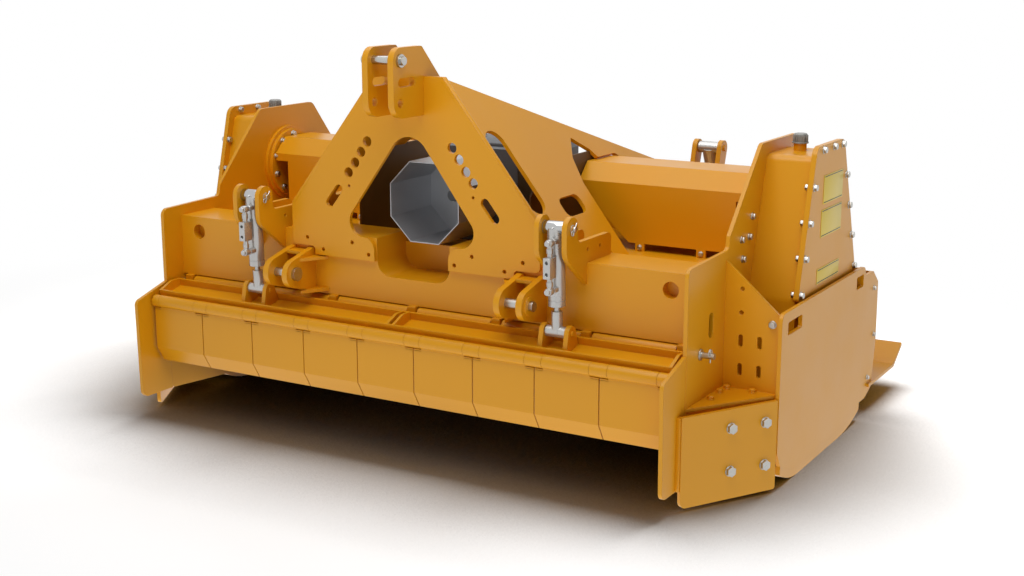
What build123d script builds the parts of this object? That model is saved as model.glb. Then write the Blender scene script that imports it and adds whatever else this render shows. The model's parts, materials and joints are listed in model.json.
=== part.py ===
from build123d import *
from math import atan2, cos, degrees, hypot, radians, sin, sqrt
import os

# Stone crusher carried on a tractor's three-point hitch and driven by its power take-off.
# Millimetres. X runs across the machine, Y from the tractor to the rear, Z up from the ground.

os.makedirs("parts", exist_ok=True)

# Widths across the machine, from the working width out to the side covers
working_width = 2300
wall_gap = 12
wall_thickness = 15
gear_case_depth = 179
lid_thickness = 20
cover_gap = 10
cover_thickness = 15
half_width = working_width / 2
wall_inner = half_width + wall_gap
wall_outer = wall_inner + wall_thickness
case_outer = wall_outer + gear_case_depth
lid_outer = case_outer + lid_thickness
cover_inner = lid_outer + cover_gap
cover_outer = cover_inner + cover_thickness

# Clearances
shaft_fit = 0.3
pin_fit = 0.15
eye_play = 5

# Rotor and the roof over it
rotor_y = -43
tip_radius = 345
tip_ground_gap = 12
drum_radius = 190
disc_thickness = 24
rotor_end_gap = 14
rotor_shaft_radius = 60
rotor_shaft_setback = 1
tooth_width = 58
tooth_sink = 25
tooth_root = 120
tooth_face = 64
tooth_stations = 22
teeth_per_station = 3
station_twist = 38
roof_gap = 10
roof_thickness = 15
rotor_z = tip_radius + tip_ground_gap
roof_under = rotor_z + tip_radius + roof_gap
roof_top = roof_under + roof_thickness

# Front box beam
beam_front = -728
beam_depth = 205
beam_height = 247
beam_wall = 12
deck_step = 68
trough_half_width = 165
trough_depth = 147
trough_radius = 60
trough_back_drop = 43
lifting_hole_radius = 30
lifting_hole_inset = 96
lifting_hole_drop = 62
lifting_hole_depth = 46
beam_back = beam_front + beam_depth
deck = roof_top + deck_step
beam_bottom = deck - beam_height

# Rear box beam
rear_beam_front = 240
rear_beam_depth = 160
rear_beam_rise = 168
rear_beam_wall = 10
rear_beam_back = rear_beam_front + rear_beam_depth
rear_beam_top = roof_top + rear_beam_rise

# Power take-off and gearbox
pto_rise = 138
pto_shaft_radius = 22.5
pto_shaft_length = 85
boss_radius = 90
boss_length = 80
gearbox_half_width = 200
gearbox_front = -283
gearbox_back = 227
gearbox_rise = 378
gearbox_chamfer = 40
shield_flats = 312
shield_sheet = 4
shield_front = -648
shield_back_plate = 4
shield_shaft_hole = 35
cross_y = -13
cross_tube_radius = 80
cross_tube_end = 160
cross_shaft_radius = 32
flange_radius = 165
flange_step = 15
flange_thickness = 30
pto_z = deck + pto_rise
boss_front = gearbox_front - boss_length

# Hitch frame
plate_thickness = 16
leg_top_half_width = 150
leg_top_rise = 627
leg_foot_half_width = 560
leg_foot_rise = 110
plate_foot_drop = 90
plate_step_drop = 57
plate_step_width = 108
window_apex_rise = 461
window_apex_radius = 89
window_half_width = 339
throat_play = 3
cheek_thickness = 15
cheek_inset = 8
cheek_tail_y = 448
plate_front = beam_front - plate_thickness
plate_step_half_width = leg_foot_half_width - plate_step_width
throat_half_width = trough_half_width + throat_play
window_lobe = window_half_width - throat_half_width
window_corner_radius = 0.35 * window_lobe
throat_radius = 0.29 * window_lobe
leg_slope = (leg_foot_half_width - leg_top_half_width) / (leg_top_rise - leg_foot_rise)
leg_stretch = hypot(1, leg_slope)

# Top link plates
top_plate_centre = 56
top_plate_thickness = 25
top_plate_reach = 190
top_plate_crown = 8
top_plate_tail = 116
top_plate_toe = 76
top_plate_top = 738
top_plate_bottom = 485
top_pin_radius = 15.875
top_pin_reach = 150
top_pin_rise = 692
spare_hole_rise = 540
spare_hole_reach = 148
spare_hole_radius = 16.2
slot_rise = 613
slot_reach = 106
slot_length = 108
slot_radius = 16

# Lower hitch ears
ear_inset = 97
ear_thickness = 25
ear_gap = 67
ear_nose_radius = 55
lower_pin_radius = 18.3
lower_pin_reach = 129
lower_pin_drop = 150
ear_root_top = 65
ear_root_bottom = 235
ear_root_depth = 12
gusset_width = 63
gusset_reach = 100
gusset_thickness = 12
gusset_drop = 107
ear_boss_radius = 36
ear_boss_height = 6
ear_web_drop = 87
ear_web_reach = 65
ear_inner = leg_foot_half_width - ear_inset
lower_pin_y = beam_front - lower_pin_reach
lower_pin_z = deck - lower_pin_drop

# Front hood, its hinge under the beam and the row of flaps
flap_count = 9
flap_gap = 4
hood_hinge_setback = 11
hood_hinge_drop = 31
hinge_rod_radius = 11
hinge_knuckle_radius = 28
hinge_lug_width = 36
hinge_lug_count = 7
hinge_lug_inset = 30
hinge_slot_gap = 6
hinge_rod_overhang = 53
tray_reach = 196
tray_fall = 48
tray_floor = 12
tray_rib = 12
tray_rib_height = 46
tray_lip_height = 34
tray_lip = 8
tray_split = 8
flap_clearance = 6
flap_tube_radius = 25
flap_rod_radius = 10
hood_knuckle_width = 68
flap_thickness = 10
flap_straight = 195
flap_bend_drop = 62
flap_bend_back = 37
hinge_y = beam_front + hood_hinge_setback
hinge_z = beam_bottom - hood_hinge_drop
tube_y = hinge_y - tray_reach
tube_z = hinge_z - tray_fall
flap_pitch = working_width / flap_count
tray_angle = degrees(atan2(tray_fall, tray_reach))
tray_length = hypot(tray_reach, tray_fall)

# Hydraulic cylinders: where they stand, their pins and their sizes
front_cylinder_outset = 117
front_top_reach = 112
front_top_rise = 138
front_eye_reach = 108
front_eye_rise = 40
rear_cylinder_outset = 150
rear_top_back = 27
rear_top_rise = 177
rear_eye_reach = 137
rear_eye_drop = 165
cylinder_pin_radius = 12.5
eye_pin_radius = 10
barrel_radius = 31
gland_length = 24
groove_depth = 1.5
groove_width = 4
rod_radius = 11
rod_end_radius = 20
top_sleeve_radius = 24
top_sleeve_width = 85
eye_sleeve_radius = 21
eye_sleeve_width = 80
bracket_plate = 20
bracket_gap = 90
lug_plate = 18
lug_side_gap = 1.5
lug_eye_radius = 28
pin_end = 6
front_bracket_radius = 42
front_bracket_nose = 40
front_bracket_foot = 80
front_bracket_tail = 83
front_bracket_tail_gap = 18
rear_bracket_radius = 32
rear_bracket_foot = 50
bracket_hole_radius = 7
lug_foot_length = 90
front_cylinder_x = leg_foot_half_width + front_cylinder_outset
rear_cylinder_x = leg_foot_half_width + rear_cylinder_outset
front_top_y = beam_front - front_top_reach
front_top_z = deck + front_top_rise
front_eye_y = hinge_y - front_eye_reach
front_eye_z = hinge_z + front_eye_rise

# Rear hood
rear_hinge_back = 40
rear_hinge_drop = 35
rear_lug_count = 5
rear_lug_inset = 62
rear_sheet = 10
rear_end_plate = 14
rear_end_drop = 265
rear_end_bottom = 65
rear_shoulder_reach = 117
rear_back_reach = 188
rear_belly_reach = 198
rear_foot_reach = 163
rear_end_front = 37
rear_shoulder_fall = 55
rear_belly_fall = 300
rear_foot_rise = 30
rear_tail_thickness = 14
rear_tail_height = 108
rear_tail_front = 542
rear_tail_bend = 898
rear_tail_end = 1010
rear_tail_lift = 70
rear_end_inset = 11
rear_tail_inset = 1
rear_tail_bevel = 5
rear_half_width = cover_outer - rear_end_inset
rear_tail_half_width = cover_outer - rear_tail_inset
rear_hinge_y = rear_beam_back + rear_hinge_back
rear_hinge_z = rear_beam_top - rear_hinge_drop
rear_top_y = rear_beam_back + rear_top_back
rear_top_z = rear_beam_top + rear_top_rise
rear_eye_y = rear_hinge_y + rear_eye_reach
rear_eye_z = rear_hinge_z - rear_eye_drop
rear_end_top = rear_hinge_z - rear_end_drop

# Side walls, skids, covers and gear cases
wall_front = -832
wall_back = 417
wall_front_bottom = 75
wall_back_bottom = 80
wall_sole = 20
wall_rise = 254
wall_top = pto_z + wall_rise
shield_nose = -1010
shield_rise = 18
shield_fall = 54
shield_rake = 7
end_shield_thickness = 15
end_shield_gap = 10
skid_front = -495
skid_flat_front = -303
skid_flat_back = 157
skid_back = 412
skid_front_rise = 50
skid_back_rise = 48
skid_thickness = 32
cover_front = -532
cover_top = 645
cover_heel = 140
cover_corner_radius = 30
cover_window_radius = 8
case_top_front = -168
case_top_back = 137
case_foot_front = -311
case_foot_back = 347
case_foot = 638
case_bottom = 110
case_bottom_radius = 190
lid_drop = 4
case_inset = 25
case_drop = 40
lid_top = wall_top - lid_drop
case_top = lid_top - case_drop
filler_outset = 70
filler_y = 10
filler_neck_radius = 24
filler_neck_height = 27
filler_radius = 27
filler_height = 37
filler_chamfer = 4
filler_x = wall_outer + filler_outset
panel_y = -508
panel_thickness = 12
panel_bottom = 90
panel_wall_top = 811
panel_cover_top = 630
panel_slot_length = 46
panel_slot_width = 17
panel_hole_radius = 8.5
rear_panel_y = 388
shelf_z = 340
shelf_lip = 10
deflector_thickness = 15
deflector_bottom = 15
deflector_nose = (wall_outer + 9, wall_front - 58)
deflector_heel = (cover_inner + 7, cover_front - 4)


# Front beam: a hollow box between the walls, with a lined trough for the drive shaft
with BuildPart() as front_beam:
    with BuildSketch(Plane.YZ):
        with Locations(((beam_front + beam_back) / 2, (beam_bottom + deck) / 2)):
            Rectangle(beam_depth, beam_height)
            Rectangle(beam_depth - 2 * beam_wall, beam_height - 2 * beam_wall, mode=Mode.SUBTRACT)
    extrude(amount=wall_inner, both=True)
    with BuildSketch(Plane.XZ.offset(-beam_front)) as trough_lining:
        with Locations((0, deck - (trough_depth + beam_wall) / 2)):
            Rectangle(2 * (trough_half_width + beam_wall), trough_depth + beam_wall)
        fillet(trough_lining.vertices().group_by(Axis.Y)[0], trough_radius + beam_wall)
    extrude(amount=-beam_depth)
    with BuildSketch(Plane.XZ.offset(-beam_front)) as trough:
        with Locations((0, deck - trough_depth / 2)):
            Rectangle(2 * trough_half_width, trough_depth)
        fillet(trough.vertices().group_by(Axis.Y)[0], trough_radius)
    extrude(amount=beam_wall - beam_depth, mode=Mode.SUBTRACT)
    with BuildSketch(Plane.XZ.offset(-beam_front)):
        with Locations((0, deck - trough_back_drop / 2)):
            Rectangle(2 * trough_half_width, trough_back_drop)
    extrude(amount=-beam_depth, mode=Mode.SUBTRACT)
    hole_spots = [(side * (wall_inner - lifting_hole_inset), deck - lifting_hole_drop) for side in (-1, 1)]
    with BuildSketch(Plane.XZ.offset(-beam_front)):
        with Locations(*hole_spots):
            Circle(lifting_hole_radius + beam_wall / 2)
    extrude(amount=-lifting_hole_depth)
    with BuildSketch(Plane.XZ.offset(-beam_front)):
        with Locations(*hole_spots):
            Circle(lifting_hole_radius)
    extrude(amount=beam_wall / 2 - lifting_hole_depth, mode=Mode.SUBTRACT)
    lug_span = 2 * (half_width - hinge_lug_inset)
    for lug in range(hinge_lug_count):
        lug_x = -lug_span / 2 + lug * lug_span / (hinge_lug_count - 1)
        with BuildSketch(Plane.YZ.offset(lug_x - hinge_lug_width / 2)):
            with Locations((hinge_y, hinge_z)):
                Circle(hinge_knuckle_radius)
            with Locations((hinge_y, (hinge_z + beam_bottom) / 2)):
                Rectangle(2 * hinge_knuckle_radius, beam_bottom - hinge_z)
            with Locations((hinge_y, hinge_z)):
                Circle(hinge_rod_radius + pin_fit, mode=Mode.SUBTRACT)
        extrude(amount=hinge_lug_width)
front_beam.part.label = "front_beam"
export_step(front_beam.part, "parts/front_beam.step")

# Roof over the rotor, with the rear box beam and the rear hood's hinge lugs
with BuildPart() as rotor_casing:
    with BuildSketch(Plane.YZ):
        with Locations(((beam_back + rear_beam_front) / 2, (roof_under + roof_top) / 2)):
            Rectangle(rear_beam_front - beam_back, roof_thickness)
        with Locations(((rear_beam_front + rear_beam_back) / 2, (roof_under + rear_beam_top) / 2)):
            Rectangle(rear_beam_depth, rear_beam_top - roof_under)
            Rectangle(
                rear_beam_depth - 2 * rear_beam_wall,
                rear_beam_top - roof_under - 2 * rear_beam_wall,
                mode=Mode.SUBTRACT,
            )
    extrude(amount=wall_inner, both=True)
    rear_lug_span = 2 * (wall_inner - rear_lug_inset)
    for lug in range(rear_lug_count):
        lug_x = -rear_lug_span / 2 + lug * rear_lug_span / (rear_lug_count - 1)
        with BuildSketch(Plane.YZ.offset(lug_x - hinge_lug_width / 2)):
            with Locations((rear_hinge_y, rear_hinge_z)):
                Circle(hinge_knuckle_radius)
            with Locations(((rear_beam_back + rear_hinge_y) / 2, rear_hinge_z)):
                Rectangle(rear_hinge_back, 2 * hinge_knuckle_radius)
            with Locations((rear_hinge_y, rear_hinge_z)):
                Circle(hinge_rod_radius + pin_fit, mode=Mode.SUBTRACT)
        extrude(amount=hinge_lug_width)
rotor_casing.part.label = "rotor_casing"
export_step(rotor_casing.part, "parts/rotor_casing.step")

# Side walls: one tall plate each side, with the rotor's shaft hole and the hood's rod hole
# Columns: Y, Z, corner radius
wall_outline = (
    (wall_front, wall_front_bottom, 20),
    (wall_front, deck + 39, 30),
    (beam_back + 35, deck + 48, 20),
    (beam_back + 45, deck + 95, 15),
    (case_top_front - 28, wall_top, 40),
    (case_top_back + 35, wall_top, 40),
    (wall_back - 100, rear_beam_top + 115, 30),
    (wall_back, rear_beam_top - 5, 40),
    (wall_back, wall_back_bottom, 20),
    (skid_flat_back, wall_sole, 60),
    (skid_flat_front, wall_sole, 60),
    (skid_front, wall_front_bottom - 25, 100),
)
wall_points = [(y, z) for y, z, radius in wall_outline]
wall_radii = [radius for y, z, radius in wall_outline]
wing_slot = (-629, 602, 90, 36)
slot_y, slot_z, slot_height, slot_width = wing_slot
with BuildPart() as side_walls:
    with BuildSketch(Plane.YZ.offset(wall_inner)):
        with BuildLine():
            FilletPolyline(*wall_points, radius=wall_radii, close=True)
        make_face()
        with Locations((rotor_y, rotor_z)):
            Circle(rotor_shaft_radius + shaft_fit, mode=Mode.SUBTRACT)
        with Locations((hinge_y, hinge_z)):
            Circle(hinge_rod_radius + pin_fit, mode=Mode.SUBTRACT)
        with Locations((slot_y, slot_z)):
            SlotOverall(slot_height, slot_width, rotation=90, mode=Mode.SUBTRACT)
    extrude(amount=wall_thickness)
    mirror(about=Plane.YZ)
side_walls.part.label = "side_walls"
export_step(side_walls.part, "parts/side_walls.step")

# End shields: bolted on ahead of the walls, one at each end of the flap row
shield_top = hinge_z + shield_rise
# Columns: Y, Z, corner radius
shield_outline = (
    (wall_front, wall_front_bottom, 0),
    (wall_front, shield_top, 0),
    (shield_nose, shield_top - shield_fall, 24),
    (shield_nose + shield_rake, wall_front_bottom, 30),
)
shield_points = [(y, z) for y, z, radius in shield_outline]
shield_radii = [radius for y, z, radius in shield_outline]
with BuildPart() as end_shields:
    with BuildSketch(Plane.YZ.offset(half_width + end_shield_gap)):
        with BuildLine():
            FilletPolyline(*shield_points, radius=shield_radii, close=True)
        make_face()
    extrude(amount=end_shield_thickness)
    mirror(about=Plane.YZ)
end_shields.part.label = "end_shields"
export_step(end_shields.part, "parts/end_shields.step")

# Skids: curved shoes that carry the machine, outside the walls
with BuildPart() as skids:
    with BuildSketch(Plane.YZ.offset(wall_outer)):
        with BuildLine():
            Line((skid_flat_front, 0), (skid_flat_back, 0))
            TangentArc((skid_flat_back, 0), (skid_back, skid_back_rise), tangent=(1, 0))
            Line((skid_back, skid_back_rise), (skid_back, skid_back_rise + skid_thickness))
            TangentArc(
                (skid_flat_back, skid_thickness),
                (skid_back, skid_back_rise + skid_thickness),
                tangent=(1, 0),
            )
            Line((skid_flat_back, skid_thickness), (skid_flat_front, skid_thickness))
            TangentArc(
                (skid_flat_front, skid_thickness),
                (skid_front, skid_front_rise + skid_thickness),
                tangent=(-1, 0),
            )
            Line((skid_front, skid_front_rise + skid_thickness), (skid_front, skid_front_rise))
            TangentArc((skid_flat_front, 0), (skid_front, skid_front_rise), tangent=(-1, 0))
        make_face()
    extrude(amount=cover_outer - wall_outer)
    mirror(about=Plane.YZ)
skids.part.label = "skids"
export_step(skids.part, "parts/skids.step")

# Side covers: the outer plates over the drive, standing on the skids
# Columns: Y, Z, length, height
cover_windows = ((-400, 582, 144, 48), (344, 592, 88, 50))
with BuildPart() as side_covers:
    with BuildSketch(Plane.YZ.offset(cover_inner)) as cover_face:
        with BuildLine():
            Line((skid_flat_front, skid_thickness), (skid_flat_back, skid_thickness))
            TangentArc(
                (skid_flat_back, skid_thickness),
                (skid_back, skid_back_rise + skid_thickness),
                tangent=(1, 0),
            )
            Polyline(
                (skid_back, skid_back_rise + skid_thickness),
                (skid_back, cover_top),
                (cover_front, cover_top),
                (cover_front, cover_heel),
                (skid_front, skid_front_rise + skid_thickness),
            )
            TangentArc(
                (skid_flat_front, skid_thickness),
                (skid_front, skid_front_rise + skid_thickness),
                tangent=(-1, 0),
            )
        make_face()
        fillet(cover_face.vertices().group_by(Axis.Y)[-1], cover_corner_radius)
        for window_y, window_z, window_length, window_height in cover_windows:
            with Locations((window_y, window_z)):
                RectangleRounded(window_length, window_height, cover_window_radius, mode=Mode.SUBTRACT)
    extrude(amount=cover_thickness)
    mirror(about=Plane.YZ)
side_covers.part.label = "side_covers"
export_step(side_covers.part, "parts/side_covers.step")

# Side pockets: the slotted front panel, the shelf ahead of it and the rear panel, on each side
slot_columns = (63, 134)
slot_rows = (422, 527)
# Columns: distance from the wall, Z
panel_holes = ((64, 715), (63, 629))
with BuildPart() as side_pockets:
    with BuildSketch(Plane.XZ.offset(-panel_y)):
        with BuildLine():
            Polyline(
                (wall_outer, panel_bottom),
                (cover_inner, panel_bottom),
                (cover_inner, panel_cover_top),
                (wall_outer, panel_wall_top),
                close=True,
            )
        make_face()
        for column in slot_columns:
            for row in slot_rows:
                with Locations((wall_outer + column, row)):
                    SlotOverall(panel_slot_length, panel_slot_width, rotation=90, mode=Mode.SUBTRACT)
        for hole_x, hole_z in panel_holes:
            with Locations((wall_outer + hole_x, hole_z)):
                Circle(panel_hole_radius, mode=Mode.SUBTRACT)
    extrude(amount=-panel_thickness)
    with BuildSketch(Plane.XY.offset(shelf_z)):
        with BuildLine():
            Polyline(
                (wall_outer, wall_front),
                (cover_inner, panel_y - shelf_lip),
                (cover_inner, panel_y),
                (wall_outer, panel_y),
                close=True,
            )
        make_face()
    extrude(amount=panel_thickness)
    with BuildSketch(Plane.XZ.offset(-rear_panel_y)):
        with Locations(((wall_outer + cover_inner) / 2, (panel_bottom + case_foot) / 2)):
            Rectangle(cover_inner - wall_outer, case_foot - panel_bottom)
    extrude(amount=-panel_thickness)
    mirror(about=Plane.YZ)
side_pockets.part.label = "side_pockets"
export_step(side_pockets.part, "parts/side_pockets.step")

# Deflectors: slanted plates under the shelves, ahead of the skids
nose_x, nose_y = deflector_nose
heel_x, heel_y = deflector_heel
deflector_length = hypot(heel_x - nose_x, heel_y - nose_y)
deflector_plane = Plane(
    origin=(nose_x, nose_y, 0),
    x_dir=(heel_x - nose_x, heel_y - nose_y, 0),
    z_dir=(heel_y - nose_y, nose_x - heel_x, 0),
)
deflector_points = (
    (0, deflector_bottom),
    (deflector_length, deflector_bottom),
    (deflector_length, shelf_z),
    (0, shelf_z),
)
with BuildPart() as deflectors:
    with BuildSketch(deflector_plane):
        with BuildLine():
            FilletPolyline(*deflector_points, radius=(25, 10, 0, 0), close=True)
        make_face()
    extrude(amount=deflector_thickness / 2, both=True)
    mirror(about=Plane.YZ)
deflectors.part.label = "deflectors"
export_step(deflectors.part, "parts/deflectors.step")

# Gear cases outside the walls, with their bolted lids and filler caps
lid_points = (
    (case_foot_front, case_foot),
    (case_top_front, lid_top),
    (case_top_back, lid_top),
    (case_foot_back, case_foot),
)
case_points = (
    (case_foot_front + case_inset, case_foot),
    (case_top_front + case_inset, case_top),
    (case_top_back - case_inset, case_top),
    (case_foot_back - case_inset, case_foot),
    (case_foot_back - 2 * case_inset, case_bottom),
    (case_foot_front + 2 * case_inset, case_bottom),
)
case_radii = (60, 30, 30, 60, case_bottom_radius, case_bottom_radius)
with BuildPart() as gear_cases:
    with BuildSketch(Plane.YZ.offset(wall_outer)):
        with BuildLine():
            FilletPolyline(*case_points, radius=case_radii, close=True)
        make_face()
    extrude(amount=gear_case_depth)
    with BuildSketch(Plane.XY.offset(case_top)):
        with Locations((filler_x, filler_y)):
            Circle(filler_neck_radius)
    extrude(amount=filler_neck_height)
    mirror(about=Plane.YZ)
gear_cases.part.label = "gear_cases"
export_step(gear_cases.part, "parts/gear_cases.step")

with BuildPart() as gear_case_lids:
    with BuildSketch(Plane.YZ.offset(case_outer)):
        with BuildLine():
            FilletPolyline(*lid_points, radius=(12, 45, 45, 12), close=True)
        make_face()
    extrude(amount=lid_thickness)
    mirror(about=Plane.YZ)
gear_case_lids.part.label = "gear_case_lids"
export_step(gear_case_lids.part, "parts/gear_case_lids.step")

with BuildPart() as filler_caps:
    with BuildSketch(Plane.XY.offset(case_top + filler_neck_height)):
        with Locations((filler_x, filler_y)):
            RegularPolygon(filler_radius, 8)
    extrude(amount=filler_height)
    chamfer(filler_caps.edges().group_by(Axis.Z)[-1], filler_chamfer)
    mirror(about=Plane.YZ)
filler_caps.part.label = "filler_caps"
export_step(filler_caps.part, "parts/filler_caps.step")

# Hitch frame: the A-shaped front plate with its window, drive opening and rows of holes
plate_points = (
    (0, deck - plate_foot_drop),
    (plate_step_half_width, deck - plate_foot_drop),
    (plate_step_half_width, deck - plate_step_drop),
    (leg_foot_half_width, deck - plate_step_drop),
    (leg_foot_half_width, deck + leg_foot_rise),
    (leg_top_half_width, deck + leg_top_rise),
    (0, deck + leg_top_rise),
)
plate_radii = (0, 0, 15, 20, 30, 0, 0)
window_half = (
    (window_half_width, deck, window_corner_radius),
    (throat_half_width, deck, throat_radius),
    (throat_half_width, deck - 2 * plate_foot_drop, 0),
)
window_points = [(0, deck + window_apex_rise)]
window_points += [(x, z) for x, z, radius in window_half]
window_points += [(-x, z) for x, z, radius in reversed(window_half)]
window_radii = [window_apex_radius]
window_radii += [radius for x, z, radius in window_half]
window_radii += [radius for x, z, radius in reversed(window_half)]


def leg_edge(rise):
    return leg_foot_half_width - leg_slope * max(rise - leg_foot_rise, 0)


# Columns: distance in from the leg's outer edge, rise over the deck, radius
leg_holes = (
    (163, 371, 19.5),
    (166, 330, 19.5),
    (171, 287, 19.5),
    (171, 247, 19.5),
    (213, 195, 6),
    (71, -25, 8),
    (148, -66, 8),
)
# Columns: distance out from the throat, rise over the deck, radius
throat_holes = ((104, -25, 8), (27, -66, 8))
plate_holes = [(leg_edge(rise) - inset, rise, radius) for inset, rise, radius in leg_holes]
plate_holes += [(throat_half_width + outset, rise, radius) for outset, rise, radius in throat_holes]
leg_slot = (176, 151, 105, 36)
leg_slot_inset, leg_slot_rise, leg_slot_length, leg_slot_width = leg_slot
leg_slot_x = leg_edge(leg_slot_rise) - leg_slot_inset
leg_angle = degrees(atan2(1, -leg_slope))
with BuildPart() as a_frame_plate:
    with BuildSketch(Plane.XZ.offset(-plate_front)):
        with BuildLine():
            FilletPolyline(*plate_points, radius=plate_radii, close=True)
        make_face()
        for hole_x, hole_rise, hole_radius in plate_holes:
            with Locations((hole_x, deck + hole_rise)):
                Circle(hole_radius, mode=Mode.SUBTRACT)
        with Locations((leg_slot_x, deck + leg_slot_rise)):
            SlotOverall(leg_slot_length, leg_slot_width, rotation=leg_angle, mode=Mode.SUBTRACT)
        with Locations((top_plate_centre, deck + top_plate_bottom + leg_top_rise / 2)):
            Rectangle(top_plate_thickness, leg_top_rise, mode=Mode.SUBTRACT)
    extrude(amount=-plate_thickness)
    mirror(about=Plane.YZ)
    with BuildSketch(Plane.XZ.offset(-plate_front)):
        with BuildLine():
            FilletPolyline(*window_points, radius=window_radii, close=True)
        make_face()
    extrude(amount=-plate_thickness, mode=Mode.SUBTRACT)
a_frame_plate.part.label = "a_frame_plate"
export_step(a_frame_plate.part, "parts/a_frame_plate.step")

# Cheeks: plates that lean with the legs, arched over the cross shafts, down to the roof and rear beam
cheek_normal = (1 / leg_stretch, 0, leg_slope / leg_stretch)
cheek_plane = Plane(
    origin=(leg_top_half_width, 0, deck + leg_top_rise),
    x_dir=(0, 1, 0),
    z_dir=cheek_normal,
).offset(-cheek_inset)


def down_leg(rise):
    return (rise - leg_top_rise) * leg_stretch


# Columns: Y, rise over the deck, corner radius
cheek_outline = (
    (beam_front, leg_top_rise, 0),
    (cheek_tail_y, 205, 15),
    (cheek_tail_y, 60, 0),
    (rear_beam_front, 60, 0),
    (rear_beam_front, 115, 20),
    (125, 275, 30),
    (-28, 275, 12),
    (-52, 307, 20),
    (-137, 360, 6),
    (-216, 294, 40),
    (-256, 205, 60),
    (-270, -2 * deck_step, 0),
    (beam_back + 180, -2 * deck_step, 0),
    (beam_back + 145, 0, 10),
    (beam_front, leg_foot_rise, 0),
)
cheek_points = [(y, down_leg(rise)) for y, rise, radius in cheek_outline]
cheek_radii = [radius for y, rise, radius in cheek_outline]
cheek_slot = (-657, 293, 366, 112)
cheek_slot_y, cheek_slot_rise, cheek_slot_length, cheek_slot_width = cheek_slot
cheek_window = (-428, 148, 154, 82)
cheek_window_radius = 30
cheek_window_y, cheek_window_rise, cheek_window_length, cheek_window_height = cheek_window
with BuildPart() as cheeks:
    with BuildSketch(cheek_plane):
        with BuildLine():
            FilletPolyline(*cheek_points, radius=cheek_radii, close=True)
        make_face()
        with Locations((cheek_slot_y, down_leg(cheek_slot_rise))):
            SlotOverall(cheek_slot_length, cheek_slot_width, rotation=90, mode=Mode.SUBTRACT)
        with Locations((cheek_window_y, down_leg(cheek_window_rise))):
            RectangleRounded(
                cheek_window_length,
                cheek_window_height,
                cheek_window_radius,
                mode=Mode.SUBTRACT,
            )
    extrude(amount=-cheek_thickness)
    with BuildSketch(Plane.YZ):
        with Locations(((beam_back + rear_beam_front) / 2, roof_top - deck)):
            Rectangle(rear_beam_front - beam_back, 2 * deck)
        with Locations((rear_beam_front + rear_beam_depth, rear_beam_top - deck)):
            Rectangle(2 * rear_beam_depth, 2 * deck)
    extrude(amount=2 * half_width, both=True, mode=Mode.SUBTRACT)
    mirror(about=Plane.YZ)
cheeks.part.label = "cheeks"
export_step(cheeks.part, "parts/cheeks.step")

# Top link plates: a pair through the top of the hitch frame
top_pin_y = beam_front - top_pin_reach - plate_thickness
top_pin_z = deck + top_pin_rise
# Columns: distance behind the hitch plate, rise over the deck, corner radius
top_plate_outline = (
    (-top_plate_reach, top_plate_bottom, 60),
    (-top_plate_reach, top_plate_top, 50),
    (-top_plate_crown, top_plate_top, 20),
    (top_plate_tail, slot_rise, 20),
    (top_plate_toe, top_plate_bottom, 20),
)
top_plate_points = [(plate_front + back, deck + rise) for back, rise, radius in top_plate_outline]
top_plate_radii = [radius for back, rise, radius in top_plate_outline]
with BuildPart() as top_link_plates:
    with BuildSketch(Plane.YZ.offset(top_plate_centre - top_plate_thickness / 2)):
        with BuildLine():
            FilletPolyline(*top_plate_points, radius=top_plate_radii, close=True)
        make_face()
        with Locations((top_pin_y, top_pin_z)):
            Circle(top_pin_radius + pin_fit, mode=Mode.SUBTRACT)
        with Locations((plate_front - spare_hole_reach, deck + spare_hole_rise)):
            Circle(spare_hole_radius, mode=Mode.SUBTRACT)
        with Locations((plate_front - slot_reach, deck + slot_rise)):
            SlotOverall(slot_length, 2 * slot_radius, mode=Mode.SUBTRACT)
    extrude(amount=top_plate_thickness)
    mirror(about=Plane.YZ)
top_link_plates.part.label = "top_link_plates"
export_step(top_link_plates.part, "parts/top_link_plates.step")

# Lower hitch ears: two clevises on the beam, with gussets towards the middle
ear_starts = (ear_inner, ear_inner + ear_thickness + ear_gap)
with BuildPart() as hitch_ears:
    for ear_x in ear_starts:
        with BuildSketch(Plane.YZ.offset(ear_x)):
            with Locations((lower_pin_y, lower_pin_z)):
                Circle(ear_nose_radius)
            with Locations((beam_front - ear_root_depth / 2, deck - (ear_root_top + ear_root_bottom) / 2)):
                Rectangle(ear_root_depth, ear_root_bottom - ear_root_top)
            make_hull()
            with Locations((lower_pin_y, lower_pin_z)):
                Circle(lower_pin_radius + pin_fit, mode=Mode.SUBTRACT)
        extrude(amount=ear_thickness)
    with BuildSketch(Plane.YZ.offset(ear_inner + 2 * ear_thickness + ear_gap)):
        with Locations((lower_pin_y, lower_pin_z)):
            Circle(ear_boss_radius)
            Circle(lower_pin_radius + pin_fit, mode=Mode.SUBTRACT)
    extrude(amount=ear_boss_height)
    with BuildSketch(Plane.XY.offset(deck - ear_web_drop)):
        with Locations((ear_inner + ear_thickness + ear_gap / 2, beam_front - ear_web_reach / 2)):
            Rectangle(ear_gap, ear_web_reach)
    extrude(amount=gusset_thickness)
    for gusset_z in (deck - gusset_drop, deck - ear_root_bottom):
        with BuildSketch(Plane.XY.offset(gusset_z)):
            with BuildLine():
                Polyline(
                    (ear_inner, beam_front),
                    (ear_inner, beam_front - gusset_reach),
                    (ear_inner - gusset_width, beam_front),
                    close=True,
                )
            make_face()
        extrude(amount=gusset_thickness)
    mirror(about=Plane.YZ)
hitch_ears.part.label = "hitch_ears"
export_step(hitch_ears.part, "parts/hitch_ears.step")

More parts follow.
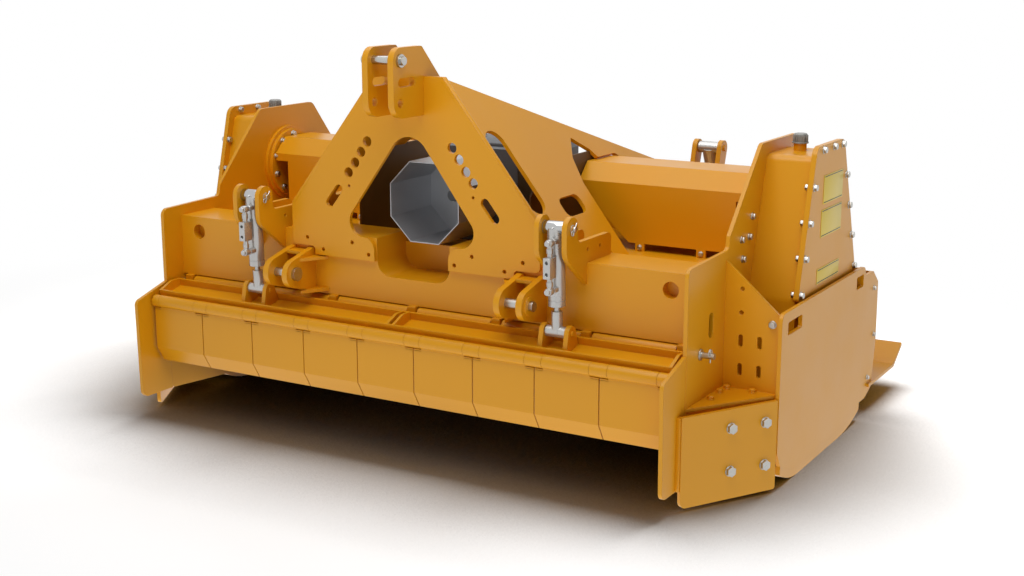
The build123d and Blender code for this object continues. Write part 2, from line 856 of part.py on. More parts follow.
# Hitch pins: a headed pin in each lower clevis and one through the top link plates
lower_head = 12
lower_head_rim = 9
lower_pin_length = 150
top_head = 10
top_head_rim = 8
top_pin_half_length = 90
with BuildPart() as hitch_pins:
    for side in (-1, 1):
        head_x = side * (ear_inner - lower_head)
        with BuildSketch(Plane.YZ.offset(head_x)):
            with Locations((lower_pin_y, lower_pin_z)):
                Circle(lower_pin_radius + lower_head_rim)
        extrude(amount=side * lower_head)
        with BuildSketch(Plane.YZ.offset(head_x)):
            with Locations((lower_pin_y, lower_pin_z)):
                Circle(lower_pin_radius)
        extrude(amount=side * lower_pin_length)
    top_plate_outer = top_plate_centre + top_plate_thickness / 2
    with BuildSketch(Plane.YZ.offset(top_plate_outer)):
        with Locations((top_pin_y, top_pin_z)):
            Circle(top_pin_radius + top_head_rim)
    extrude(amount=top_head)
    with BuildSketch(Plane.YZ.offset(-top_pin_half_length)):
        with Locations((top_pin_y, top_pin_z)):
            Circle(top_pin_radius)
    extrude(amount=2 * top_pin_half_length)
hitch_pins.part.label = "hitch_pins"
export_step(hitch_pins.part, "parts/hitch_pins.step")

# Gearbox block with the splined input shaft, and the eight-sided shield round the shaft
with BuildPart() as gearbox:
    with BuildSketch(Plane.XZ.offset(-gearbox_front)) as gearbox_face:
        with Locations((0, roof_top + gearbox_rise / 2)):
            Rectangle(2 * gearbox_half_width, gearbox_rise)
        chamfer(gearbox_face.vertices().group_by(Axis.Y)[-1], gearbox_chamfer)
    extrude(amount=gearbox_front - gearbox_back)
    with BuildSketch(Plane.XZ.offset(-gearbox_front)):
        with Locations((0, pto_z)):
            Circle(boss_radius)
    extrude(amount=boss_length)
    with BuildSketch(Plane.XZ.offset(-boss_front)):
        with Locations((0, pto_z)):
            Circle(pto_shaft_radius)
    extrude(amount=pto_shaft_length)
gearbox.part.label = "gearbox"
export_step(gearbox.part, "parts/gearbox.step")

shield_circumradius = shield_flats / 2 / cos(radians(22.5))
with BuildPart() as pto_shield:
    with BuildSketch(Plane.XZ.offset(-shield_front)):
        with Locations((0, pto_z)):
            RegularPolygon(shield_circumradius, 8, rotation=22.5)
            RegularPolygon(shield_flats / 2 - shield_sheet, 8, False, rotation=22.5, mode=Mode.SUBTRACT)
    extrude(amount=shield_front - boss_front)
    with BuildSketch(Plane.XZ.offset(-boss_front)):
        with Locations((0, pto_z)):
            RegularPolygon(shield_circumradius, 8, rotation=22.5)
            Circle(shield_shaft_hole, mode=Mode.SUBTRACT)
    extrude(amount=shield_back_plate)
pto_shield.part.label = "pto_shield"
export_step(pto_shield.part, "parts/pto_shield.step")

# Shaft housings: tubes from the gearbox, the shafts that leave them and stepped flanges on the walls
with BuildPart() as shaft_housings:
    with BuildSketch(Plane.YZ.offset(gearbox_half_width)):
        with Locations((cross_y, pto_z)):
            Circle(cross_tube_radius)
    extrude(amount=wall_inner - cross_tube_end - gearbox_half_width)
    with BuildSketch(Plane.YZ.offset(wall_inner - cross_tube_end)):
        with Locations((cross_y, pto_z)):
            Circle(cross_shaft_radius)
    extrude(amount=cross_tube_end)
    for radius, thickness in ((flange_radius, flange_step), (flange_radius - flange_step, flange_thickness)):
        with BuildSketch(Plane.YZ.offset(wall_inner)):
            with Locations((cross_y, pto_z)):
                Circle(radius)
        extrude(amount=-thickness)
    mirror(about=Plane.YZ)
shaft_housings.part.label = "shaft_housings"
export_step(shaft_housings.part, "parts/shaft_housings.step")

# Shaft guards: folded sheet covers over the cross shafts, on feet, notched at the wall
guard_sheet = 8
guard_front = -143
guard_back = 107
guard_inset = 160
guard_foot_height = 30
guard_foot_width = 39
guard_inner_foot = 108
guard_outer_foot = 225
guard_cut_width = 220
guard_cut_height = 198
guard_shoulder_rise = 55
guard_top_rise = 122
guard_chamfer = 67
guard_notch = 101
guard_notch_rise = 22
flange_clearance = 5
guard_inner = leg_foot_half_width - guard_inset
guard_feet = (leg_foot_half_width + guard_inner_foot, half_width - guard_outer_foot)
guard_shoulder = pto_z + guard_shoulder_rise
guard_top = pto_z + guard_top_rise
guard_notch_top = pto_z + guard_notch_rise
guard_bottom = roof_top + guard_foot_height
guard_depth = guard_back - guard_front
with BuildPart() as shaft_guards:
    with BuildSketch(Plane.YZ.offset(guard_inner)):
        with BuildLine():
            Polyline(
                (guard_front, guard_bottom),
                (guard_front, guard_shoulder),
                (guard_front + guard_chamfer, guard_top),
                (guard_back, guard_top),
                (guard_back, guard_bottom),
                close=True,
            )
        make_face()
        with BuildLine():
            Polyline(
                (guard_front + guard_sheet, guard_bottom),
                (guard_front + guard_sheet, guard_shoulder - guard_sheet / 2),
                (guard_front + guard_chamfer + guard_sheet / 2, guard_top - guard_sheet),
                (guard_back - guard_sheet, guard_top - guard_sheet),
                (guard_back - guard_sheet, guard_bottom),
                close=True,
            )
        make_face(mode=Mode.SUBTRACT)
    extrude(amount=wall_inner - guard_inner)
    for face_y in (guard_front, guard_back - guard_sheet):
        with BuildSketch(Plane.XZ.offset(-face_y)):
            for foot_x in guard_feet:
                with Locations((foot_x, roof_top + guard_foot_height / 2)):
                    Rectangle(guard_foot_width, guard_foot_height)
        extrude(amount=-guard_sheet)
    with BuildSketch(Plane.XZ.offset(-guard_front)):
        with BuildLine():
            Polyline(
                (guard_inner, guard_bottom),
                (guard_inner + guard_cut_width, guard_bottom),
                (guard_inner, guard_bottom + guard_cut_height),
                close=True,
            )
        make_face()
    extrude(amount=-guard_depth, mode=Mode.SUBTRACT)
    with BuildSketch(Plane.XZ.offset(-guard_front)):
        with Locations((wall_inner - guard_notch / 2, (guard_bottom + guard_notch_top) / 2)):
            Rectangle(guard_notch, guard_notch_top - guard_bottom)
    extrude(amount=-guard_sheet, mode=Mode.SUBTRACT)
    with BuildSketch(Plane.YZ.offset(wall_inner)):
        with Locations((cross_y, pto_z)):
            Circle(flange_radius + flange_clearance)
    extrude(amount=-flange_thickness - flange_clearance, mode=Mode.SUBTRACT)
    mirror(about=Plane.YZ)
shaft_guards.part.label = "shaft_guards"
export_step(shaft_guards.part, "parts/shaft_guards.step")

# Front cylinder brackets: plates on the beam, in pairs, with tails on the deck and the upper pins
pair_inner = bracket_gap / 2
pair_outer = pair_inner + bracket_plate
bracket_nose = front_top_y - front_bracket_radius
bracket_neck = front_top_y + front_bracket_radius
# Columns: Y, rise over the deck, corner radius
front_bracket_outline = (
    (bracket_nose, front_top_rise, 0),
    (bracket_nose, front_bracket_nose, 60),
    (beam_front, -front_bracket_foot, 0),
    (beam_front, 0, 0),
    (beam_back - front_bracket_tail_gap, 0, 0),
    (beam_back - front_bracket_tail_gap, front_bracket_tail, 25),
    (bracket_neck, front_bracket_tail, 20),
    (bracket_neck, front_top_rise, 0),
)
front_bracket_points = [(y, deck + rise) for y, rise, radius in front_bracket_outline]
front_bracket_radii = [radius for y, rise, radius in front_bracket_outline]
# Columns: distance behind the beam's front, rise over the deck
tail_holes = ((4, 49), (98, 48))
with BuildPart() as front_cylinder_brackets:
    for plate_x in (front_cylinder_x - pair_outer, front_cylinder_x + pair_inner):
        with BuildSketch(Plane.YZ.offset(plate_x)):
            with Locations((front_top_y, front_top_z)):
                Circle(front_bracket_radius)
            with BuildLine():
                FilletPolyline(*front_bracket_points, radius=front_bracket_radii, close=True)
            make_face()
            for hole_back, hole_rise in tail_holes:
                with Locations((beam_front + hole_back, deck + hole_rise)):
                    Circle(bracket_hole_radius, mode=Mode.SUBTRACT)
        extrude(amount=bracket_plate)
    with BuildSketch(Plane.YZ.offset(front_cylinder_x - pair_outer - pin_end)):
        with Locations((front_top_y, front_top_z)):
            Circle(cylinder_pin_radius)
    extrude(amount=2 * (pair_outer + pin_end))
    mirror(about=Plane.YZ)
front_cylinder_brackets.part.label = "front_cylinder_brackets"
export_step(front_cylinder_brackets.part, "parts/front_cylinder_brackets.step")

# Rear cylinder brackets: upright plates on the rear beam, in pairs, with the upper pins
with BuildPart() as rear_cylinder_brackets:
    for plate_x in (rear_cylinder_x - pair_outer, rear_cylinder_x + pair_inner):
        with BuildSketch(Plane.YZ.offset(plate_x)):
            with Locations((rear_top_y, rear_top_z)):
                Circle(rear_bracket_radius)
            with Locations((rear_beam_back - rear_bracket_foot / 2, rear_beam_top + rear_beam_wall / 2)):
                Rectangle(rear_bracket_foot, rear_beam_wall)
            make_hull()
        extrude(amount=bracket_plate)
    with BuildSketch(Plane.YZ.offset(rear_cylinder_x - pair_outer - pin_end)):
        with Locations((rear_top_y, rear_top_z)):
            Circle(cylinder_pin_radius)
    extrude(amount=2 * (pair_outer + pin_end))
    mirror(about=Plane.YZ)
rear_cylinder_brackets.part.label = "rear_cylinder_brackets"
export_step(rear_cylinder_brackets.part, "parts/rear_cylinder_brackets.step")

# Hinge rods of the two hoods
with BuildPart() as front_hinge_rod:
    with BuildSketch(Plane.YZ):
        with Locations((hinge_y, hinge_z)):
            Circle(hinge_rod_radius)
    extrude(amount=wall_outer + hinge_rod_overhang, both=True)
front_hinge_rod.part.label = "front_hinge_rod"
export_step(front_hinge_rod.part, "parts/front_hinge_rod.step")

with BuildPart() as rear_hinge_rod:
    with BuildSketch(Plane.YZ):
        with Locations((rear_hinge_y, rear_hinge_z)):
            Circle(hinge_rod_radius)
    extrude(amount=half_width, both=True)
rear_hinge_rod.part.label = "rear_hinge_rod"
export_step(rear_hinge_rod.part, "parts/rear_hinge_rod.step")

# Rotor: drum and end discs with rows of teeth in a helix
rotor_half_length = wall_inner - rotor_end_gap
station_pitch = (2 * rotor_half_length - 2 * disc_thickness) / tooth_stations
tooth_seat = drum_radius - tooth_sink
tooth_reach = sqrt(tip_radius**2 - (tooth_face / 2) ** 2)
with BuildPart() as rotor:
    with BuildSketch(Plane.YZ.offset(-rotor_half_length)):
        with Locations((rotor_y, rotor_z)):
            Circle(drum_radius)
    extrude(amount=2 * rotor_half_length)
    rotor_shaft_end = wall_outer - rotor_shaft_setback
    with BuildSketch(Plane.YZ.offset(-rotor_shaft_end)):
        with Locations((rotor_y, rotor_z)):
            Circle(rotor_shaft_radius)
    extrude(amount=2 * rotor_shaft_end)
    for station in range(tooth_stations):
        station_x = -rotor_half_length + disc_thickness + (station + 0.5) * station_pitch
        with BuildSketch(Plane.YZ.offset(station_x - tooth_width / 2)):
            with Locations((rotor_y, rotor_z)):
                with PolarLocations(0, teeth_per_station, start_angle=station * station_twist):
                    Polygon(
                        (tooth_seat, -tooth_root / 2),
                        (tooth_reach, -tooth_face / 2),
                        (tooth_reach, tooth_face / 2),
                        (tooth_seat, tooth_root / 2),
                        align=None,
                    )
        extrude(amount=tooth_width)
rotor.part.label = "rotor"
export_step(rotor.part, "parts/rotor.step")

# Front hood: a tray hinged under the beam, with ribs, cylinder lugs and the flaps' knuckles
lug_pitch = lug_span / (hinge_lug_count - 1)
knuckle_length = lug_pitch - hinge_lug_width - 2 * hinge_slot_gap
floor_start = hinge_knuckle_radius / 2
floor_end = tray_length - flap_tube_radius - flap_clearance
along_y = -tray_reach / tray_length
along_z = -tray_fall / tray_length


def tray_point(distance, height):
    return (
        hinge_y + distance * along_y + height * along_z,
        hinge_z + distance * along_z - height * along_y,
    )


with BuildPart() as front_hood:
    with BuildSketch(Plane.YZ):
        with Locations(tray_point((floor_start + floor_end) / 2, 0)):
            Rectangle(floor_end - floor_start, tray_floor, rotation=tray_angle)
        with Locations(tray_point(floor_end - tray_lip / 2, tray_lip_height / 2)):
            Rectangle(tray_lip, tray_lip_height, rotation=tray_angle)
        with Locations(tray_point(2 * hinge_knuckle_radius, tray_lip_height / 2)):
            Rectangle(tray_lip, tray_lip_height, rotation=tray_angle)
    extrude(amount=half_width, both=True)
    with BuildSketch(Plane.YZ):
        with Locations((tube_y, tube_z)):
            Circle(flap_rod_radius)
    extrude(amount=half_width, both=True)
    for joint in range(flap_count + 1):
        joint_x = -half_width + joint * flap_pitch
        start_x = max(joint_x - hood_knuckle_width / 2, -half_width)
        end_x = min(joint_x + hood_knuckle_width / 2, half_width)
        with BuildSketch(Plane.YZ.offset(start_x)):
            with Locations((tube_y, tube_z)):
                Circle(flap_tube_radius)
            with Locations(tray_point(tray_length - flap_tube_radius, 0)):
                Rectangle(2 * flap_tube_radius, tray_floor, rotation=tray_angle)
        extrude(amount=end_x - start_x)
    rib_starts = (-half_width, half_width - tray_rib, -tray_rib - tray_split, tray_split)
    for rib_x in rib_starts:
        with BuildSketch(Plane.YZ.offset(rib_x)):
            with BuildLine():
                Polyline(
                    tray_point(2 * hinge_knuckle_radius, 0),
                    tray_point(2 * hinge_knuckle_radius, tray_lip_height),
                    tray_point(tray_length / 2, tray_rib_height),
                    tray_point(floor_end, tray_lip_height),
                    tray_point(floor_end, 0),
                    close=True,
                )
            make_face()
        extrude(amount=tray_rib)
    for lug in range(hinge_lug_count - 1):
        knuckle_x = -lug_span / 2 + (lug + 0.5) * lug_pitch - knuckle_length / 2
        with BuildSketch(Plane.YZ.offset(knuckle_x)):
            with Locations((hinge_y, hinge_z)):
                Circle(hinge_knuckle_radius)
        extrude(amount=knuckle_length)
    for side in (-1, 1):
        eye_lug_inner = eye_sleeve_width / 2 + lug_side_gap
        cylinder_x = side * front_cylinder_x
        for plate_x in (cylinder_x - eye_lug_inner - lug_plate, cylinder_x + eye_lug_inner):
            with BuildSketch(Plane.YZ.offset(plate_x)):
                with Locations((front_eye_y, front_eye_z)):
                    Circle(lug_eye_radius)
                with Locations(tray_point(front_eye_reach, 0)):
                    Rectangle(lug_foot_length, tray_floor, rotation=tray_angle)
                make_hull()
            extrude(amount=lug_plate)
        pin_half_length = eye_lug_inner + lug_plate + pin_end
        with BuildSketch(Plane.YZ.offset(cylinder_x - pin_half_length)):
            with Locations((front_eye_y, front_eye_z)):
                Circle(eye_pin_radius)
        extrude(amount=2 * pin_half_length)
    for lug in range(hinge_lug_count):
        lug_x = -lug_span / 2 + lug * lug_pitch
        slot_half = hinge_lug_width / 2 + hinge_slot_gap
        with BuildSketch(Plane.YZ.offset(lug_x - slot_half)):
            with Locations((hinge_y, hinge_z)):
                Circle(hinge_knuckle_radius + hinge_slot_gap)
        extrude(amount=2 * slot_half, mode=Mode.SUBTRACT)
    with BuildSketch(Plane.YZ):
        with Locations((hinge_y, hinge_z)):
            Circle(hinge_rod_radius + shaft_fit)
    extrude(amount=half_width, both=True, mode=Mode.SUBTRACT)
front_hood.part.label = "front_hood"
export_step(front_hood.part, "parts/front_hood.step")

# Flaps: a row of hinged plates hanging from the hood's front tube, bent back at the foot
flap_width = flap_pitch - flap_gap
flap_tube_length = flap_pitch - hood_knuckle_width - flap_gap / 2
flap_top = tube_z - flap_tube_radius - flap_clearance
flap_front = tube_y - flap_thickness
flap_bend_z = tube_z - flap_straight
flap_tilt = atan2(flap_bend_back, flap_bend_drop)
flap_points = (
    (flap_front, flap_top),
    (flap_front, flap_bend_z),
    (flap_front + flap_bend_back, flap_bend_z - flap_bend_drop),
    (
        flap_front + flap_bend_back + flap_thickness * cos(flap_tilt),
        flap_bend_z - flap_bend_drop + flap_thickness * sin(flap_tilt),
    ),
    (flap_front + flap_thickness, flap_bend_z + flap_thickness * sin(flap_tilt) / 2),
    (flap_front + flap_thickness, flap_top),
)
for number in range(1, flap_count + 1):
    flap_x = -half_width + (number - 0.5) * flap_pitch
    with BuildPart() as flap:
        with BuildSketch(Plane.YZ.offset(flap_x - flap_width / 2)):
            with BuildLine():
                Polyline(*flap_points, close=True)
            make_face()
        extrude(amount=flap_width)
        with BuildSketch(Plane.YZ.offset(flap_x - flap_tube_length / 2)):
            with Locations((tube_y, tube_z)):
                Circle(flap_tube_radius)
            with Locations((flap_front + flap_thickness / 2, (flap_top + tube_z) / 2)):
                Rectangle(flap_thickness, tube_z - flap_top)
            with Locations((tube_y, tube_z)):
                Circle(flap_rod_radius + shaft_fit, mode=Mode.SUBTRACT)
        extrude(amount=flap_tube_length)
    flap.part.label = f"flap_{number}"
    export_step(flap.part, f"parts/flap_{number}.step")

# Rear hood: full-width curtain hinged on the rear beam, with end plates, ribs and a turned-up tail
rear_shoulder = (rear_hinge_y + rear_shoulder_reach, rear_end_top)
rear_back = (rear_hinge_y + rear_back_reach, rear_end_top - rear_shoulder_fall)
rear_belly = (rear_hinge_y + rear_belly_reach, rear_end_top - rear_belly_fall)
rear_foot = (rear_hinge_y + rear_foot_reach, rear_end_bottom + rear_foot_rise)
rear_outer_points = (
    (rear_hinge_y + rear_sheet, rear_hinge_z),
    rear_shoulder,
    rear_back,
    rear_belly,
    rear_foot,
)
rear_inner_points = (
    (rear_foot[0] - rear_sheet, rear_foot[1]),
    (rear_belly[0] - rear_sheet, rear_belly[1]),
    (rear_back[0] - rear_sheet, rear_back[1] - rear_sheet / 2),
    (rear_shoulder[0] - rear_sheet / 2, rear_end_top - rear_sheet),
    (rear_hinge_y, rear_hinge_z - rear_sheet),
)
end_plate_points = (
    (rear_beam_back + rear_end_front, rear_end_top),
    rear_shoulder,
    rear_back,
    rear_belly,
    rear_foot,
    (rear_hinge_y + rear_foot_reach / 2, rear_end_bottom),
    (rear_beam_back + rear_end_front, rear_end_bottom),
)
# Columns: distance behind the hinge, height over it
rear_lug_foot = ((45, -90), (112, -263), (125, -275))
rear_lug_points = [(rear_hinge_y + back, rear_hinge_z + rise) for back, rise in rear_lug_foot]
rear_lug_pitch = rear_lug_span / (rear_lug_count - 1)
rear_knuckle_length = rear_lug_pitch - hinge_lug_width - 2 * hinge_slot_gap
with BuildPart() as rear_hood:
    with BuildSketch(Plane.YZ):
        with BuildLine():
            Polyline(*rear_outer_points, *rear_inner_points, close=True)
        make_face()
    extrude(amount=rear_half_width, both=True)
    for side in (-1, 1):
        with BuildSketch(Plane.YZ.offset(side * half_width)):
            with Locations((rear_hinge_y, (rear_hinge_z + rear_end_top) / 2)):
                Rectangle(2 * rear_back_reach, rear_hinge_z - rear_end_top)
        extrude(amount=side * (rear_half_width - half_width), mode=Mode.SUBTRACT)
    for plate_x in (-rear_half_width, rear_half_width - rear_end_plate):
        with BuildSketch(Plane.YZ.offset(plate_x)):
            with BuildLine():
                FilletPolyline(*end_plate_points, radius=(20, 20, 30, 40, 40, 30, 20), close=True)
            make_face()
        extrude(amount=rear_end_plate)
    with BuildSketch(Plane.YZ):
        with BuildLine():
            Polyline(
                (rear_tail_front, rear_tail_height),
                (rear_tail_bend, rear_tail_height),
                (rear_tail_end, rear_tail_height + rear_tail_lift),
                (rear_tail_end - rear_tail_bevel, rear_tail_height + rear_tail_lift + rear_tail_thickness),
                (rear_tail_bend - rear_tail_bevel, rear_tail_height + rear_tail_thickness),
                (rear_tail_front, rear_tail_height + rear_tail_thickness),
                close=True,
            )
        make_face()
    extrude(amount=rear_tail_half_width, both=True)
    for lug in range(rear_lug_count - 1):
        knuckle_x = -rear_lug_span / 2 + (lug + 0.5) * rear_lug_pitch - rear_knuckle_length / 2
        with BuildSketch(Plane.YZ.offset(knuckle_x)):
            with Locations((rear_hinge_y, rear_hinge_z)):
                Circle(hinge_knuckle_radius)
        extrude(amount=rear_knuckle_length)
    for side in (-1, 1):
        eye_lug_inner = eye_sleeve_width / 2 + lug_side_gap
        cylinder_x = side * rear_cylinder_x
        for plate_x in (cylinder_x - eye_lug_inner - lug_plate, cylinder_x + eye_lug_inner):
            with BuildSketch(Plane.YZ.offset(plate_x)):
                with Locations((rear_eye_y, rear_eye_z)):
                    Circle(lug_eye_radius)
                with BuildLine():
                    Polyline(*rear_lug_points, close=True)
                make_face()
                make_hull()
            extrude(amount=lug_plate)
        pin_half_length = eye_lug_inner + lug_plate + pin_end
        with BuildSketch(Plane.YZ.offset(cylinder_x - pin_half_length)):
            with Locations((rear_eye_y, rear_eye_z)):
                Circle(eye_pin_radius)
        extrude(amount=2 * pin_half_length)
    for lug in range(rear_lug_count):
        lug_x = -rear_lug_span / 2 + lug * rear_lug_pitch
        slot_half = hinge_lug_width / 2 + hinge_slot_gap
        with BuildSketch(Plane.YZ.offset(lug_x - slot_half)):
            with Locations((rear_hinge_y, rear_hinge_z)):
                Circle(hinge_knuckle_radius + hinge_slot_gap)
        extrude(amount=2 * slot_half, mode=Mode.SUBTRACT)
    with BuildSketch(Plane.YZ):
        with Locations((rear_hinge_y, rear_hinge_z)):
            Circle(hinge_rod_radius + shaft_fit)
    extrude(amount=rear_half_width, both=True, mode=Mode.SUBTRACT)
rear_hood.part.label = "rear_hood"
export_step(rear_hood.part, "parts/rear_hood.step")

# Hydraulic cylinders: a barrel hung from its upper pin and a rod with a cross eye
# Columns: name, X, upper pin Y and Z, eye Y and Z, barrel length, bare rod, rod left in the barrel
cylinder_table = (
    ("front", front_cylinder_x, front_top_y, front_top_z, front_eye_y, front_eye_z, 280, 20, 160),
    ("rear", rear_cylinder_x, rear_top_y, rear_top_z, rear_eye_y, rear_eye_z, 262, 72, 120),
)
for name, offset_x, top_y, top_z, eye_y, eye_z, barrel_length, bare_rod, inner_rod in cylinder_table:
    for side, cylinder_x in (("left", -offset_x), ("right", offset_x)):
        cylinder_length = hypot(eye_y - top_y, eye_z - top_z)
        axis_plane = Plane(
            origin=(cylinder_x, top_y, top_z),
            x_dir=(1, 0, 0),
            z_dir=(0, eye_y - top_y, eye_z - top_z),
        )
        with BuildPart() as barrel:
            with BuildSketch(axis_plane):
                Circle(barrel_radius)
            extrude(amount=barrel_length)
            with BuildSketch(axis_plane.offset(barrel_length - gland_length)):
                Circle(barrel_radius)
                Circle(barrel_radius - groove_depth, mode=Mode.SUBTRACT)
            extrude(amount=groove_width, mode=Mode.SUBTRACT)
            with BuildSketch(Plane.YZ.offset(cylinder_x - top_sleeve_width / 2)):
                with Locations((top_y, top_z)):
                    Circle(top_sleeve_radius)
            extrude(amount=top_sleeve_width)
            with BuildSketch(Plane.YZ.offset(cylinder_x - top_sleeve_width / 2)):
                with Locations((top_y, top_z)):
                    Circle(cylinder_pin_radius + pin_fit)
            extrude(amount=top_sleeve_width, mode=Mode.SUBTRACT)
            with BuildSketch(axis_plane.offset(barrel_length)):
                Circle(rod_radius + shaft_fit)
            extrude(amount=-(barrel_length - 2 * top_sleeve_radius), mode=Mode.SUBTRACT)
        barrel.part.label = f"{name}_barrel_{side}"
        export_step(barrel.part, f"parts/{name}_barrel_{side}.step")

        with BuildPart() as rod:
            with BuildSketch(axis_plane.offset(barrel_length - inner_rod)):
                Circle(rod_radius)
            extrude(amount=cylinder_length - barrel_length + inner_rod)
            with BuildSketch(axis_plane.offset(barrel_length + bare_rod)):
                Circle(rod_end_radius)
            extrude(amount=cylinder_length - barrel_length - bare_rod)
            with BuildSketch(Plane.YZ.offset(cylinder_x - eye_sleeve_width / 2)):
                with Locations((eye_y, eye_z)):
                    Circle(eye_sleeve_radius)
            extrude(amount=eye_sleeve_width)
            with BuildSketch(Plane.YZ.offset(cylinder_x - eye_sleeve_width / 2)):
                with Locations((eye_y, eye_z)):
                    Circle(eye_pin_radius + eye_play)
            extrude(amount=eye_sleeve_width, mode=Mode.SUBTRACT)
        rod.part.label = f"{name}_rod_{side}"
        export_step(rod.part, f"parts/{name}_rod_{side}.step")
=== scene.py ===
import json
import math
import bpy
from mathutils import Matrix, Vector


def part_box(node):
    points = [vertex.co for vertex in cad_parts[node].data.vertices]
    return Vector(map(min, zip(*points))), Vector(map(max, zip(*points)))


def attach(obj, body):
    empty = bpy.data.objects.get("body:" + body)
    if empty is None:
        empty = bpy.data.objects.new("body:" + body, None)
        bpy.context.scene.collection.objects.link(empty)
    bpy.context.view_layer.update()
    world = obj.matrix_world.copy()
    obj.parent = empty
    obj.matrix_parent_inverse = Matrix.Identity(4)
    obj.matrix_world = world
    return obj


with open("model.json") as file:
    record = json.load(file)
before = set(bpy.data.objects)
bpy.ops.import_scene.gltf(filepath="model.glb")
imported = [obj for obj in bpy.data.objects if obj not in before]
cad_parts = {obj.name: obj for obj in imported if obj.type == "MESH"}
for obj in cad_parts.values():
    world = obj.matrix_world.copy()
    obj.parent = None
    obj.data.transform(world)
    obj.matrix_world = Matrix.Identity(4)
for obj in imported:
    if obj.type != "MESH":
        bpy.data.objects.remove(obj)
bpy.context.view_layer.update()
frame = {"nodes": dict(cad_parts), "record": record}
nodes = frame["nodes"]
scene = bpy.context.scene
print("frame loaded:", len(nodes), "nodes")


# node steps that the materials share

def feed(tree, socket, value):
    # a socket takes another node's output, or a plain value
    if isinstance(value, bpy.types.NodeSocket):
        tree.links.new(value, socket)
    else:
        socket.default_value = value


def mathNode(tree, operation, *values):
    node = tree.nodes.new("ShaderNodeMath")
    node.operation = operation
    for socket, value in zip(node.inputs, values):
        feed(tree, socket, value)
    return node.outputs["Value"]


def mixShaders(tree, factor, first, second):
    mix = tree.nodes.new("ShaderNodeMixShader")
    feed(tree, mix.inputs["Fac"], factor)
    feed(tree, mix.inputs[1], first)
    feed(tree, mix.inputs[2], second)
    return mix.outputs["Shader"]


def addNoise(tree, vector, scale, detail):
    noise = tree.nodes.new("ShaderNodeTexNoise")
    feed(tree, noise.inputs["Vector"], vector)
    feed(tree, noise.inputs["Scale"], scale)
    feed(tree, noise.inputs["Detail"], detail)
    return noise.outputs["Fac"]


# shader groups shared by the finishes

def newGroup(name, inputs, outputs):
    group = bpy.data.node_groups.new(name, "ShaderNodeTree")
    for socketName, socketType, value in inputs:
        socket = group.interface.new_socket(name=socketName, in_out="INPUT", socket_type=socketType)
        socket.default_value = value
    for socketName, socketType in outputs:
        group.interface.new_socket(name=socketName, in_out="OUTPUT", socket_type=socketType)
    entry = group.nodes.new("NodeGroupInput")
    leave = group.nodes.new("NodeGroupOutput")
    return group, entry.outputs, leave.inputs


tintNoise = {"detail": 3.0}
skinNoise = {"fineDetail": 2.0, "broadScale": 5.0, "broadDetail": 4.0, "broadRange": (0.3, 0.7)}


def buildTintGroup():
    # slow drift between two close colours
    group, entry, leave = newGroup(
        "slowTint",
        [("Vector", "NodeSocketVector", (0, 0, 0)), ("Colour", "NodeSocketColor", (1, 1, 1, 1)),
         ("Other Colour", "NodeSocketColor", (1, 1, 1, 1)), ("Scale", "NodeSocketFloat", 2.0)],
        [("Colour", "NodeSocketColor")])
    mix = group.nodes.new("ShaderNodeMix")
    mix.data_type = "RGBA"
    feed(group, mix.inputs["Factor"], addNoise(group, entry["Vector"], entry["Scale"], tintNoise["detail"]))
    feed(group, mix.inputs["A"], entry["Colour"])
    feed(group, mix.inputs["B"], entry["Other Colour"])
    feed(group, leave["Colour"], mix.outputs["Result"])
    return group


def buildSkinGroup():
    # fine waviness of a sprayed or rolled surface, and a roughness that drifts more slowly
    group, entry, leave = newGroup(
        "surfaceSkin",
        [("Vector", "NodeSocketVector", (0, 0, 0)), ("Scale", "NodeSocketFloat", 60.0),
         ("Low Roughness", "NodeSocketFloat", 0.2), ("High Roughness", "NodeSocketFloat", 0.3)],
        [("Height", "NodeSocketFloat"), ("Roughness", "NodeSocketFloat")])
    fine = addNoise(group, entry["Vector"], entry["Scale"], skinNoise["fineDetail"])
    broad = addNoise(group, entry["Vector"], skinNoise["broadScale"], skinNoise["broadDetail"])
    spread = group.nodes.new("ShaderNodeMapRange")
    low, high = skinNoise["broadRange"]
    feed(group, spread.inputs["Value"], broad)
    feed(group, spread.inputs["From Min"], low)
    feed(group, spread.inputs["From Max"], high)
    feed(group, spread.inputs["To Min"], entry["Low Roughness"])
    feed(group, spread.inputs["To Max"], entry["High Roughness"])
    feed(group, leave["Height"], fine)
    feed(group, leave["Roughness"], spread.outputs["Result"])
    return group


tintGroup = buildTintGroup()
skinGroup = buildSkinGroup()
bevelSamples = 4


